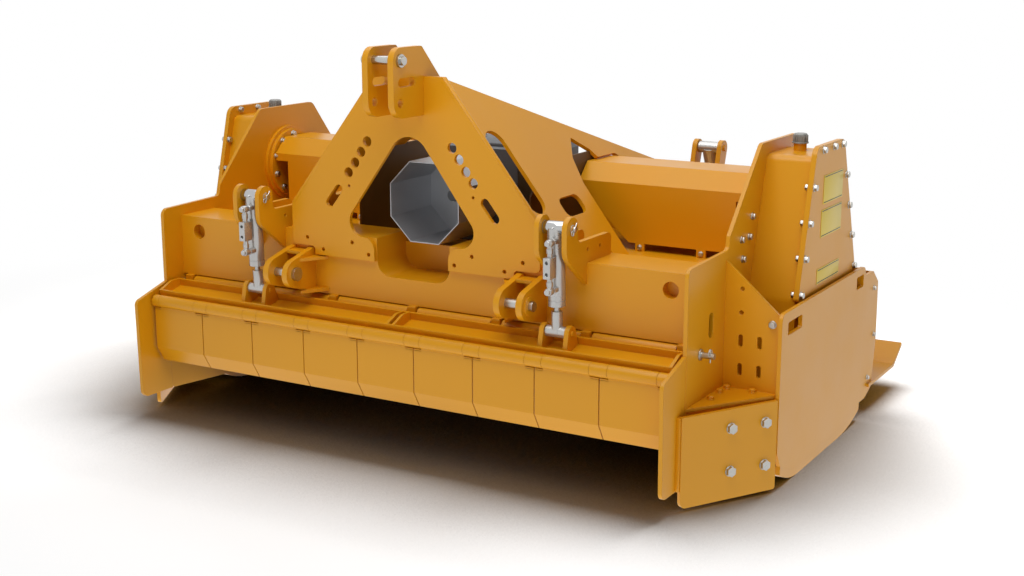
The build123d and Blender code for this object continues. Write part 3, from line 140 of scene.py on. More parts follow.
def buildFinish(name, look):
    material = bpy.data.materials.new(name)
    material.use_nodes = True
    tree = material.node_tree
    place = tree.nodes.new("ShaderNodeTexCoord").outputs["Object"]

    tint = tree.nodes.new("ShaderNodeGroup")
    tint.node_tree = tintGroup
    feed(tree, tint.inputs["Vector"], place)
    feed(tree, tint.inputs["Colour"], (*look["colour"], 1))
    feed(tree, tint.inputs["Other Colour"], (*look["otherColour"], 1))
    feed(tree, tint.inputs["Scale"], look["tintScale"])

    lowRoughness, highRoughness = look["roughness"]
    skin = tree.nodes.new("ShaderNodeGroup")
    skin.node_tree = skinGroup
    feed(tree, skin.inputs["Vector"], place)
    feed(tree, skin.inputs["Scale"], look["skinScale"])
    feed(tree, skin.inputs["Low Roughness"], lowRoughness)
    feed(tree, skin.inputs["High Roughness"], highRoughness)

    # edges look rounded, under the skin's fine relief
    rounded = tree.nodes.new("ShaderNodeBevel")
    rounded.samples = bevelSamples
    feed(tree, rounded.inputs["Radius"], look["edge"])
    bump = tree.nodes.new("ShaderNodeBump")
    feed(tree, bump.inputs["Strength"], look["bump"])
    feed(tree, bump.inputs["Distance"], look["bumpDepth"])
    feed(tree, bump.inputs["Height"], skin.outputs["Height"])
    feed(tree, bump.inputs["Normal"], rounded.outputs["Normal"])

    shader = tree.nodes["Principled BSDF"]
    feed(tree, shader.inputs["Base Color"], tint.outputs["Colour"])
    feed(tree, shader.inputs["Roughness"], skin.outputs["Roughness"])
    feed(tree, shader.inputs["Normal"], bump.outputs["Normal"])
    feed(tree, shader.inputs["Metallic"], look["metallic"])
    for key, socketName in (("specular", "Specular IOR Level"), ("coat", "Coat Weight"),
                            ("coatRoughness", "Coat Roughness")):
        if key in look:
            feed(tree, shader.inputs[socketName], look[key])
    return material


paintLook = {"colour": (0.78, 0.345, 0.004), "otherColour": (0.74, 0.322, 0.004), "tintScale": 1.6,
             "skinScale": 160.0, "roughness": (0.30, 0.38), "bump": 0.05, "bumpDepth": 0.0006,
             "edge": 0.0025, "metallic": 0.0, "specular": 0.36}
chromeLook = {"colour": (0.58, 0.575, 0.56), "otherColour": (0.50, 0.495, 0.48), "tintScale": 9.0,
              "skinScale": 300.0, "roughness": (0.20, 0.32), "bump": 0.02, "bumpDepth": 0.0003,
              "edge": 0.0015, "metallic": 0.6}
polishedLook = {"colour": (0.50, 0.50, 0.50), "otherColour": (0.45, 0.45, 0.45), "tintScale": 12.0,
                "skinScale": 300.0, "roughness": (0.06, 0.12), "bump": 0.01, "bumpDepth": 0.0002,
                "edge": 0.001, "metallic": 1.0}
zincLook = {"colour": (0.55, 0.54, 0.51), "otherColour": (0.44, 0.43, 0.40), "tintScale": 30.0,
            "skinScale": 400.0, "roughness": (0.22, 0.36), "bump": 0.05, "bumpDepth": 0.0003,
            "edge": 0.0008, "metallic": 1.0}
greySheetLook = {"colour": (0.50, 0.51, 0.53), "otherColour": (0.42, 0.43, 0.45), "tintScale": 6.0,
                 "skinScale": 220.0, "roughness": (0.30, 0.42), "bump": 0.05, "bumpDepth": 0.0004,
                 "edge": 0.0015, "metallic": 0.5}
castGreyLook = {"colour": (0.115, 0.118, 0.124), "otherColour": (0.085, 0.088, 0.094), "tintScale": 8.0,
                "skinScale": 260.0, "roughness": (0.45, 0.6), "bump": 0.25, "bumpDepth": 0.0012,
                "edge": 0.004, "metallic": 0.0}
toolSteelLook = {"colour": (0.028, 0.027, 0.026), "otherColour": (0.05, 0.048, 0.045), "tintScale": 14.0,
                 "skinScale": 180.0, "roughness": (0.42, 0.62), "bump": 0.2, "bumpDepth": 0.001,
                 "edge": 0.003, "metallic": 0.4}
darkPlasticLook = {"colour": (0.30, 0.295, 0.275), "otherColour": (0.25, 0.245, 0.23), "tintScale": 40.0,
                   "skinScale": 500.0, "roughness": (0.36, 0.46), "bump": 0.08, "bumpDepth": 0.0004,
                   "edge": 0.0015, "metallic": 0.3}
panelFilmLook = {"colour": (0.80, 0.58, 0.05), "otherColour": (0.76, 0.55, 0.045), "tintScale": 5.0,
                 "skinScale": 350.0, "roughness": (0.38, 0.46), "bump": 0.02, "bumpDepth": 0.0002,
                 "edge": 0.0006, "metallic": 0.0, "coat": 0.1, "coatRoughness": 0.2}
# painted shade: a dark brown for the hitch bay's inner walls, darker than the paint because the bay lies in
# shade
paintedShadeLook = {"colour": (0.115, 0.050, 0.006), "otherColour": (0.095, 0.042, 0.005), "tintScale": 3.0,
              "skinScale": 200.0, "roughness": (0.50, 0.62), "bump": 0.06, "bumpDepth": 0.0005,
              "edge": 0.002, "metallic": 0.0, "specular": 0.3}
panelInkLook = {"colour": (0.035, 0.033, 0.03), "otherColour": (0.03, 0.028, 0.026), "tintScale": 5.0,
                "skinScale": 350.0, "roughness": (0.40, 0.48), "bump": 0.02, "bumpDepth": 0.0002,
                "edge": 0.0004, "metallic": 0.0}

# one finish for each material slot of the record
finishes = {
    "paint": buildFinish("orangePaint", paintLook),
    "chrome": buildFinish("satinChrome", chromeLook),
    "zinc_steel": buildFinish("zincSteel", zincLook),
    "grey_sheet": buildFinish("greySheet", greySheetLook),
    "cast_grey": buildFinish("castGrey", castGreyLook),
    "tool_steel": buildFinish("blackToolSteel", toolSteelLook),
    "dark_plastic": buildFinish("darkPlastic", darkPlasticLook),
}
# and a few for single pieces
polishedChrome = buildFinish("polishedChrome", polishedLook)
panelInk = buildFinish("panelInk", panelInkLook)
paintedShadeBrown = buildFinish("paintedShadeBrown", paintedShadeLook)
panelFilm = buildFinish("yellowPanelFilm", panelFilmLook)
print("finishes built")

for part in frame["record"]["subparts"]:
    node = nodes[part["node"]]
    node.data.materials.clear()
    node.data.materials.append(finishes[part["material_slot"]])
print("finishes on the frame")


# modelling steps that the pieces share

hexSides = 6
wireSides = 8
edgeSteps = 2  # segments of every softened edge
smoothAngle = math.radians(32)
outward, inward, forward, upward = (1, 0, 0), (-1, 0, 0), (0, -1, 0), (0, 0, 1)  # on the right side


def boxMiddle(node):
    low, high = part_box(node)
    return (Vector(low) + Vector(high)) / 2


def deselectAll():
    if bpy.context.mode != "OBJECT":
        bpy.ops.object.mode_set(mode="OBJECT")
    bpy.ops.object.select_all(action="DESELECT")


def makeActive(piece):
    deselectAll()
    piece.select_set(True)
    bpy.context.view_layer.objects.active = piece


def applyPlace():
    bpy.ops.object.transform_apply(location=True, rotation=True, scale=True)
    return bpy.context.object


def applyModifier(piece, kind, **settings):
    makeActive(piece)
    modifier = piece.modifiers.new(kind.lower(), kind)
    for key, value in settings.items():
        setattr(modifier, key, value)
    bpy.ops.object.modifier_apply(modifier=modifier.name)


def pickFaces(piece, wanted):
    # only the faces that pass the test stay selected, in edit mode
    makeActive(piece)
    bpy.ops.object.mode_set(mode="EDIT")
    bpy.ops.mesh.select_mode(type="FACE")
    bpy.ops.mesh.select_all(action="DESELECT")
    bpy.ops.object.mode_set(mode="OBJECT")
    for face in piece.data.polygons:
        face.select = wanted(face.center, face.normal)
    bpy.ops.object.mode_set(mode="EDIT")


def addBlock(size, centre, softness):
    deselectAll()
    bpy.ops.mesh.primitive_cube_add(size=1, location=centre)
    bpy.context.object.scale = size
    block = applyPlace()
    applyModifier(block, "BEVEL", width=softness, segments=edgeSteps)
    return block


def addRod(radius, start, end, sides=24, softness=0.0008):
    deselectAll()
    start, end = Vector(start), Vector(end)
    run = end - start
    bpy.ops.mesh.primitive_cylinder_add(
        vertices=sides, radius=radius, depth=run.length, location=(start + end) / 2,
        rotation=run.to_track_quat("Z", "Y").to_euler())
    rod = applyPlace()
    applyModifier(rod, "BEVEL", width=softness, segments=edgeSteps)
    return rod


def addRing(radius, wire, centre, segments):
    # a wire ring that stands across the X axis
    deselectAll()
    bpy.ops.mesh.primitive_torus_add(
        location=centre, rotation=(0, math.radians(90), 0), major_radius=radius, minor_radius=wire,
        major_segments=segments, minor_segments=wireSides)
    return applyPlace()


def joinPieces(pieces, name):
    deselectAll()
    for piece in pieces:
        piece.select_set(True)
    bpy.context.view_layer.objects.active = pieces[0]
    if len(pieces) > 1:
        bpy.ops.object.join()
    whole = bpy.context.object
    whole.name = name
    whole.data.name = name
    return whole


def copyShape(model, move):
    copy = model.copy()
    copy.data = model.data.copy()
    scene.collection.objects.link(copy)
    copy.data.transform(move)
    return copy


def copyRound(model, count, axis, centre):
    # copies turned evenly about an axis, then moved to their centre
    copies = []
    for number in range(count):
        turn = Matrix.Rotation(math.radians(number * 360 / count), 4, axis)
        copies.append(copyShape(model, Matrix.Translation(centre) @ turn))
    return copies


def copyOnto(model, spots):
    # each copy stands at its spot, its foot turned along the axis
    copies = []
    for place, axis in spots:
        turn = Vector(upward).rotation_difference(Vector(axis)).to_matrix().to_4x4()
        copies.append(copyShape(model, Matrix.Translation(place) @ turn))
    return copies


def dropModel(model):
    bpy.data.objects.remove(model, do_unlink=True)


def dressPiece(piece, body, slot, finish=None):
    makeActive(piece)
    bpy.ops.object.shade_smooth_by_angle(angle=smoothAngle)
    piece.data.materials.clear()
    piece.data.materials.append(finish or finishes[slot])
    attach(piece, body)


def bothSides(spots):
    # the same spots on the right and on the left
    mirrored = []
    for (x, y, z), (axisX, axisY, axisZ) in spots:
        mirrored.append(((x, y, z), (axisX, axisY, axisZ)))
        mirrored.append(((-x, y, z), (-axisX, axisY, axisZ)))
    return mirrored


# bolts: a chamfered hexagon head on a washer

boltForm = {"washerSink": 0.001, "washerSides": 20, "washerSoftness": 0.0006, "headSoftness": 0.0005,
            "topNormal": 0.99, "crownInset": 0.09, "crownRise": 0.06}  # crown: shares of the width across
boltLook = {"across": 0.022, "head": 0.010, "washerRadius": 0.0145, "washerThick": 0.0025}
bigBoltLook = {"across": 0.033, "head": 0.013, "washerRadius": 0.0195, "washerThick": 0.003}
smallBoltLook = {"across": 0.016, "head": 0.007, "washerRadius": 0.0105, "washerThick": 0.002}


def modelBolt(across, head, washerRadius, washerThick):
    washer = addRod(washerRadius, (0, 0, -boltForm["washerSink"]), (0, 0, washerThick),
                    boltForm["washerSides"], boltForm["washerSoftness"])
    cornerRadius = across / 2 / math.cos(math.radians(30))
    crown = addRod(cornerRadius, (0, 0, 0), (0, 0, washerThick + head), hexSides, boltForm["headSoftness"])
    pickFaces(crown, lambda centre, normal: normal.z > boltForm["topNormal"])
    bpy.ops.mesh.inset(thickness=across * boltForm["crownInset"])
    bpy.ops.transform.translate(value=(0, 0, across * boltForm["crownRise"]))
    return joinPieces([washer, crown], "boltModel")


def setBolts(name, body, slot, *rows):
    # each row is a bolt and its spots on the right side
    copies = []
    for model, spots in rows:
        copies += copyOnto(model, bothSides(spots))
    dressPiece(joinPieces(copies, name), body, slot)


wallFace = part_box("side_walls")[1][0]
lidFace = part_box("gear_case_lids")[1][0]
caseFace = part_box("gear_cases")[1][0]
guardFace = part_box("shaft_guards")[0][1]

wallBolts = {"yz": ((-0.372, 0.861), (-0.298, 0.860), (-0.354, 0.787), (-0.273, 0.931)),
             "panel": (1.357, -0.508, 0.600)}
lidBolts = {"yz": ((-0.103, 1.166), (0.014, 1.166), (0.112, 1.164),
                   (-0.189, 1.039), (-0.222, 0.913), (-0.255, 0.789), (-0.288, 0.662),
                   (0.175, 1.041), (0.222, 0.917), (0.270, 0.793), (0.320, 0.662))}
shelfBolts = {"top": 0.352, "xy": ((1.204, -0.678), (1.200, -0.589), (1.203, -0.530), (1.300, -0.530))}
deflectorBolts = {"normal": (0.863, -0.505, 0),
                  "xyz": ((1.297, -0.714, 0.272), (1.372, -0.586, 0.270),
                          (1.297, -0.714, 0.117), (1.373, -0.586, 0.115))}
flangeBolts = {"face": 1.132, "centre": (-0.013, 0.933), "radius": 0.128, "count": 10, "first": 18}
guardBolts = {"rise": 0.742, "x": (0.668, 0.925)}
endPlateBolts = {"face": 1.390, "yz": ((0.570, 0.523), (0.600, 0.321), (0.539, 0.150))}


def flangeSpots():
    spots = []
    middleY, middleZ = flangeBolts["centre"]
    for number in range(flangeBolts["count"]):
        angle = math.radians(flangeBolts["first"] + number * 360 / flangeBolts["count"])
        y = middleY + flangeBolts["radius"] * math.cos(angle)
        z = middleZ + flangeBolts["radius"] * math.sin(angle)
        spots.append(((flangeBolts["face"], y, z), inward))
    return spots


def buildBolts():
    bolt = modelBolt(**boltLook)
    bigBolt = modelBolt(**bigBoltLook)
    smallBolt = modelBolt(**smallBoltLook)

    spots = [((wallFace, y, z), outward) for y, z in wallBolts["yz"]] + [(wallBolts["panel"], forward)]
    setBolts("wall_bolts", "frame", "zinc_steel", (bolt, spots))
    spots = [((x, y, shelfBolts["top"]), upward) for x, y in shelfBolts["xy"]]
    setBolts("shelf_bolts", "frame", "paint", (bolt, spots))
    heads = [((lidFace, y, z), outward) for y, z in lidBolts["yz"]]
    nuts = [((caseFace, y, z), inward) for y, z in lidBolts["yz"]]
    setBolts("lid_bolts", "frame", "zinc_steel", (bolt, heads), (bolt, nuts))
    spots = [(spot, deflectorBolts["normal"]) for spot in deflectorBolts["xyz"]]
    setBolts("deflector_bolts", "frame", "zinc_steel", (bigBolt, spots))
    feet = [((x, guardFace, guardBolts["rise"]), forward) for x in guardBolts["x"]]
    setBolts("flange_bolts", "frame", "zinc_steel", (bolt, flangeSpots()), (smallBolt, feet))
    spots = [((endPlateBolts["face"], y, z), outward) for y, z in endPlateBolts["yz"]]
    setBolts("end_plate_bolts", "rear_hood", "zinc_steel", (smallBolt, spots))

    for model in (bolt, bigBolt, smallBolt):
        dropModel(model)


buildBolts()
print("bolts set")


# front cylinders: a valve block with two banjo fittings, a polished top sleeve, a headed pin with its clip

valveLook = {"size": (0.028, 0.045, 0.075), "centre": (0.010, -0.9025, 0.8025), "softness": 0.0018,
             "holeRadius": 0.0065, "holeRise": 0.0205, "holeDepth": 0.016, "drillStart": 0.004}
# each rod of a banjo fitting: radius, front end, back end, sides, softness
banjoLook = {"x": 0.012, "rises": (0.890, 0.719),
             "rods": ((0.011, -0.927, -0.918, hexSides, 0.001),  # bolt head
                      (0.0135, -0.918, -0.892, 28, 0.002),  # eye
                      (0.008, -0.892, -0.858, 24, 0.0008),  # stem
                      (0.0125, -0.885, -0.858, hexSides, 0.001)),  # nut
             "pipeRadius": 0.0095, "pipeY": -0.905, "pipeNut": 0.0125, "pipeNutSoftness": 0.001}
upperPin = {"y": -0.840, "z": 0.933}
sleeveLook = {"radius": 0.0245, "halfWidth": 0.0425, "sides": 48, "softness": 0.0025,
              "nippleRadius": 0.0055, "nippleSink": 0.002, "nippleReach": 0.008,
              "ballRadius": 0.0035, "ballSides": 16, "ballSoftness": 0.0012}
# each rod of a pin: radius, left end, right end, softness
pinLook = {"rods": ((0.0165, -0.078, -0.066, 0.003),  # head
                    (0.0165, 0.064, 0.068, 0.0008),  # washer
                    (0.0118, 0.066, 0.0795, 0.002)),  # bare end
           "sides": 28, "clipAt": 0.0735, "clipReach": 0.021, "clipLean": 0.7, "clipRadius": 0.0025,
           "clipSides": 12, "ringRadius": 0.009, "ringWire": 0.0016, "ringDrop": 0.6, "ringSegments": 24}


def buildValve(side, axisX):
    size = valveLook["size"]
    centre = Vector((axisX, 0, 0)) + Vector(valveLook["centre"])
    block = addBlock(size, centre, valveLook["softness"])
    front = centre.y - size[1] / 2
    for rise in (-valveLook["holeRise"], valveLook["holeRise"]):
        z = centre.z + rise
        drill = addRod(valveLook["holeRadius"], (centre.x, front - valveLook["drillStart"], z),
                       (centre.x, front + valveLook["holeDepth"], z))
        applyModifier(block, "BOOLEAN", object=drill, operation="DIFFERENCE", solver="EXACT")
        dropModel(drill)

    fittings = [block]
    x, pipeY = axisX + banjoLook["x"], banjoLook["pipeY"]
    blockEnds = (centre.z + size[2] / 2, centre.z - size[2] / 2)
    for z, blockEnd in zip(banjoLook["rises"], blockEnds):
        for radius, start, end, sides, softness in banjoLook["rods"]:
            fittings.append(addRod(radius, (x, start, z), (x, end, z), sides, softness))
        fittings.append(addRod(banjoLook["pipeRadius"], (x, pipeY, blockEnd), (x, pipeY, z)))
        middle, eighth = (blockEnd + z) / 2, (z - blockEnd) / 8
        fittings.append(addRod(banjoLook["pipeNut"], (x, pipeY, middle - 2 * eighth),
                               (x, pipeY, middle + eighth), hexSides, banjoLook["pipeNutSoftness"]))
    dressPiece(joinPieces(fittings, "front_valve_" + side), "front_barrel_" + side, "chrome")


def buildSleeve(side, axisX):
    # the sleeve on the upper pin, with a grease nipple at its front
    y, z = upperPin["y"], upperPin["z"]
    half = sleeveLook["halfWidth"]
    sleeve = addRod(sleeveLook["radius"], (axisX - half, y, z), (axisX + half, y, z),
                    sleeveLook["sides"], sleeveLook["softness"])
    face = y - sleeveLook["radius"]
    nipple = addRod(sleeveLook["nippleRadius"], (axisX, face + sleeveLook["nippleSink"], z),
                    (axisX, face - sleeveLook["nippleReach"] / 2, z), hexSides)
    ball = addRod(sleeveLook["ballRadius"], (axisX, face, z), (axisX, face - sleeveLook["nippleReach"], z),
                  sleeveLook["ballSides"], sleeveLook["ballSoftness"])
    sleevePiece = joinPieces([sleeve, nipple, ball], "front_sleeve_" + side)
    dressPiece(sleevePiece, "front_barrel_" + side, "chrome", polishedChrome)


def buildPin(side, axisX):
    y, z = upperPin["y"], upperPin["z"]
    pieces = []
    for radius, start, end, softness in pinLook["rods"]:
        pieces.append(addRod(radius, (axisX + start, y, z), (axisX + end, y, z), pinLook["sides"], softness))
    clipX, reach = axisX + pinLook["clipAt"], pinLook["clipReach"]
    lean = reach * pinLook["clipLean"]
    pieces.append(addRod(pinLook["clipRadius"], (clipX, y - lean, z - reach), (clipX, y + lean, z + reach),
                         pinLook["clipSides"]))
    ringCentre = (clipX, y - lean, z - reach * pinLook["ringDrop"])
    pieces.append(addRing(pinLook["ringRadius"], pinLook["ringWire"], ringCentre, pinLook["ringSegments"]))
    dressPiece(joinPieces(pieces, "front_pin_" + side), "frame", "zinc_steel")


for side in ("left", "right"):
    axisX = boxMiddle("front_barrel_" + side).x
    buildValve(side, axisX)
    buildSleeve(side, axisX)
    buildPin(side, axisX)
print("front cylinders dressed")


# rear cylinders: a hose fitting near each end of the barrel, an elbow that turns along it

rearPortLook = {"top": (0.427, 1.072), "eye": (0.577, 0.695), "distances": (0.052, 0.225), "ways": (1, -1),
                "barrel": 0.029, "base": 0.042, "tip": 0.056, "turn": 0.030, "baseRadius": 0.014,
                "neckRadius": 0.009, "nutRadius": 0.0126, "nutShares": (0.5, 0.9),
                "hexSoftness": 0.001, "neckSides": 24, "neckSoftness": 0.002, "turnSoftness": 0.001}


def buildRearPorts(side, axisX):
    top = Vector((axisX, *rearPortLook["top"]))
    along = (Vector((axisX, *rearPortLook["eye"])) - top).normalized()
    out = Vector((0, -along.z, along.y))
    neck, sides = rearPortLook["neckRadius"], rearPortLook["neckSides"]
    hexForm = (hexSides, rearPortLook["hexSoftness"])
    nutStart, nutEnd = rearPortLook["nutShares"]
    fittings = []
    for distance, way in zip(rearPortLook["distances"], rearPortLook["ways"]):
        spot = top + along * distance
        base = spot + out * rearPortLook["base"]
        elbow = spot + out * rearPortLook["tip"]
        turn = along * way * rearPortLook["turn"]
        fittings += [
            addRod(rearPortLook["baseRadius"], spot + out * rearPortLook["barrel"], base, *hexForm),
            addRod(neck, base, elbow + out * neck, sides, rearPortLook["neckSoftness"]),
            addRod(neck, elbow, elbow + turn, sides, rearPortLook["turnSoftness"]),
            addRod(rearPortLook["nutRadius"], elbow + turn * nutStart, elbow + turn * nutEnd, *hexForm),
        ]
    dressPiece(joinPieces(fittings, "rear_ports_" + side), "rear_barrel_" + side, "chrome")


for side in ("left", "right"):
    buildRearPorts(side, boxMiddle("rear_barrel_" + side).x)
print("rear cylinders dressed")


# input shaft splines, gearbox cover, filler cap ribs and the hood rod's clips

splineLook = {"count": 6, "radius": 0.0228, "width": 0.0095, "height": 0.005, "start": -0.447, "end": -0.366,
              "softness": 0.001}
gearboxLook = {"cover": (0.27, 0.38, 0.014), "centre": (0, -0.028, 1.111), "softness": 0.004,
               "bolts": ((0.110, -0.190), (0.110, -0.028), (0.110, 0.134)), "breather": (0.0, 0.075),
               "breatherRadius": 0.018, "breatherSink": 0.002, "breatherRise": 0.034, "breatherSides": 8}
capLook = {"x": 1.247, "y": 0.010, "foot": 1.170, "ringRadius": 0.031, "ringRise": 0.006, "ringSides": 36,
           "ringSoftness": 0.0015, "ribs": 18, "ribRadius": 0.0258, "ribSize": (0.005, 0.0035, 0.026),
           "ribCentre": 1.188, "ribSoftness": 0.001}
rodClipLook = {"washerThick": 0.005, "washerRadius": 0.021, "washerSides": 28, "washerSoftness": 0.001,
               "pinX": 1.214, "pinReach": 0.024, "pinRadius": 0.003, "pinSides": 12,
               "ringRadius": 0.015, "ringWire": 0.0018, "ringSegments": 28}


def buildSplines():
    length = splineLook["end"] - splineLook["start"]
    middle = (splineLook["start"] + splineLook["end"]) / 2
    size = (splineLook["width"], length, splineLook["height"])
    ridge = addBlock(size, (0, middle, splineLook["radius"]), splineLook["softness"])
    shaftAxis = (0, 0, boxMiddle("pto_shield").z)
    ridges = copyRound(ridge, splineLook["count"], "Y", shaftAxis)
    dropModel(ridge)
    dressPiece(joinPieces(ridges, "shaft_splines"), "frame", "zinc_steel")


def buildGearboxCover():
    cover = addBlock(gearboxLook["cover"], gearboxLook["centre"], gearboxLook["softness"])
    top = gearboxLook["centre"][2] + gearboxLook["cover"][2] / 2
    x, y = gearboxLook["breather"]
    breather = addRod(gearboxLook["breatherRadius"], (x, y, top - gearboxLook["breatherSink"]),
                      (x, y, top + gearboxLook["breatherRise"]), gearboxLook["breatherSides"],
                      gearboxLook["softness"])
    dressPiece(joinPieces([cover, breather], "gearbox_cover"), "frame", "cast_grey")
    bolt = modelBolt(**boltLook)
    spots = [((x, y, top), upward) for x, y in gearboxLook["bolts"]]
    setBolts("gearbox_bolts", "frame", "zinc_steel", (bolt, spots))
    dropModel(bolt)


def buildCapRibs():
    y, foot = capLook["y"], capLook["foot"]
    rib = addBlock(capLook["ribSize"], (capLook["ribRadius"], 0, 0), capLook["ribSoftness"])
    pieces = []
    for x in (-capLook["x"], capLook["x"]):
        pieces.append(addRod(capLook["ringRadius"], (x, y, foot), (x, y, foot + capLook["ringRise"]),
                             capLook["ringSides"], capLook["ringSoftness"]))
        pieces += copyRound(rib, capLook["ribs"], "Z", (x, y, capLook["ribCentre"]))
    dropModel(rib)
    dressPiece(joinPieces(pieces, "filler_cap_ribs"), "frame", "dark_plastic")


def buildRodClips():
    rodAxis = boxMiddle("front_hinge_rod")
    y, z, reach = rodAxis.y, rodAxis.z, rodClipLook["pinReach"]
    pieces = []
    for side in (-1, 1):
        washerEnd = side * (wallFace + rodClipLook["washerThick"])
        pieces.append(addRod(rodClipLook["washerRadius"], (side * wallFace, y, z), (washerEnd, y, z),
                             rodClipLook["washerSides"], rodClipLook["washerSoftness"]))
        pinX = side * rodClipLook["pinX"]
        pieces.append(addRod(rodClipLook["pinRadius"], (pinX, y, z - reach), (pinX, y, z + reach),
                             rodClipLook["pinSides"]))
        ringCentre = (pinX, y, z + reach - rodClipLook["ringRadius"])
        pieces.append(addRing(rodClipLook["ringRadius"], rodClipLook["ringWire"], ringCentre,
                              rodClipLook["ringSegments"]))
    dressPiece(joinPieces(pieces, "hinge_rod_clips"), "frame", "zinc_steel")


buildSplines()
buildGearboxCover()
buildCapRibs()
buildRodClips()
print("drive line, caps and clips set")


# blank panels on the gear case lids, each with two plain lines

# each panel: front end, back end, foot, top
lidPanelLook = {"thick": 0.0016, "softness": 0.0004, "lineThick": 0.0022, "lineWidth": 0.003,
                "lineSoftness": 0.0003, "margin": 0.006,
                "panels": ((-0.085, 0.133, 0.963, 1.070), (-0.098, 0.132, 0.840, 0.944),
                           (-0.120, 0.130, 0.668, 0.726))}


def buildPanels():
    panels, lines = [], []
    thick, lineThick, margin = lidPanelLook["thick"], lidPanelLook["lineThick"], lidPanelLook["margin"]
    for side in (-1, 1):
        x = side * (lidFace + thick / 2)
        lineX = side * (lidFace + lineThick / 2)
        for front, back, foot, top in lidPanelLook["panels"]:
            y = (front + back) / 2
            panels.append(addBlock((thick, back - front, top - foot), (x, y, (foot + top) / 2),
                                   lidPanelLook["softness"]))
            lineSize = (lineThick, back - front - 2 * margin, lidPanelLook["lineWidth"])
            for z in (foot + margin, top - margin):
                lines.append(addBlock(lineSize, (lineX, y, z), lidPanelLook["lineSoftness"]))
    dressPiece(joinPieces(panels, "lid_panels"), "frame", "paint", panelFilm)
    dressPiece(joinPieces(lines, "lid_panel_lines"), "frame", "dark_plastic", panelInk)


buildPanels()
print("panels set")


# lips on the flaps' upper corners, which reach up to the hood's knuckles

lipLook = {"flaps": 9, "inner": 0.0928, "outer": 0.1258, "y": (-0.923, -0.913), "z": (0.436, 0.4435),
           "softness": 0.0004}


def buildLips():
    (front, back), (foot, top) = lipLook["y"], lipLook["z"]
    inner, outer = lipLook["inner"], lipLook["outer"]
    size = (outer - inner, back - front, top - foot)
    for number in range(1, lipLook["flaps"] + 1):
        flap = "flap_" + str(number)
        middle = boxMiddle(flap).x
        lips = []
        for side in (-1, 1):
            centre = (middle + side * (inner + outer) / 2, (front + back) / 2, (foot + top) / 2)
            lips.append(addBlock(size, centre, lipLook["softness"]))
        dressPiece(joinPieces(lips, "lips_" + str(number)), flap, "paint")


buildLips()
print("flap row closed")


# rolled edges of the hitch frame, its inner walls in a dark brown that is painted shade, and the strips
# between end shields and deflectors

rolledEdge = {"top": (0.143, -0.7290, 1.414), "foot": (0.552, -0.7290, 0.896), "radius": 0.0152, "sides": 32,
              "softness": 0.003}
bayWall = {"x": 0.392, "thick": 0.008, "front": -0.521, "back": 0.020, "foot": 0.727, "top": 1.090,
           "corner": 0.12, "softness": 0.001}
noseStrip = {"size": (0.015, 0.022, 0.262), "centre": (1.1815, -0.888, 0.208), "softness": 0.001}


def onSide(side, spot):
    x, y, z = spot
    return (side * x, y, z)


def buildBayWall(side):
    front, back, foot, top = (bayWall[key] for key in ("front", "back", "foot", "top"))
    size = (bayWall["thick"], back - front, top - foot)
    centre = (bayWall["x"], (front + back) / 2, (foot + top) / 2)
    wall = addBlock(size, onSide(side, centre), bayWall["softness"])
    # the front upper corner is cut off
    makeActive(wall)
    bpy.ops.object.mode_set(mode="EDIT")
    bpy.ops.mesh.select_all(action="SELECT")
    bpy.ops.mesh.bisect(plane_co=(0, front + bayWall["corner"], top), plane_no=(0, -1, 1),
                        use_fill=True, clear_outer=True)
    bpy.ops.object.mode_set(mode="OBJECT")
    return wall


def buildHitchTrim():
    edges, walls, strips = [], [], []
    for side in (-1, 1):
        edges.append(addRod(rolledEdge["radius"], onSide(side, rolledEdge["top"]),
                            onSide(side, rolledEdge["foot"]), rolledEdge["sides"], rolledEdge["softness"]))
        walls.append(buildBayWall(side))
        strips.append(addBlock(noseStrip["size"], onSide(side, noseStrip["centre"]), noseStrip["softness"]))
    dressPiece(joinPieces(edges, "hitch_edges"), "frame", "paint")
    # the bay walls' dark brown is painted shade, so the inside of the bay reads as shaded
    dressPiece(joinPieces(walls, "hitch_bay_shade_walls"), "frame", "paint", paintedShadeBrown)
    dressPiece(joinPieces(strips, "deflector_strips"), "frame", "paint")


buildHitchTrim()
print("hitch frame trimmed")


# floor: distances near to far are in footprints of the machine

floorLook = {"size": 60.0, "colour": 0.96, "roughness": 0.9, "footprint": (1.40, 0.98, 1.0),
             "near": 1.7, "far": 3.0, "shadowReach": 0.85, "shadowDepth": 1.5, "shadowSamples": 4,
             "bounceColour": 0.30, "bounceNear": 0.92, "bounceFar": 1.04, "bounceGain": 0.35}


def fadeOut(tree, distance, near, far):
    fade = tree.nodes.new("ShaderNodeMapRange")
    fade.interpolation_type = "SMOOTHSTEP"
    feed(tree, fade.inputs["Value"], distance)
    feed(tree, fade.inputs["From Min"], near)
    feed(tree, fade.inputs["From Max"], far)
    return fade.outputs["Result"]


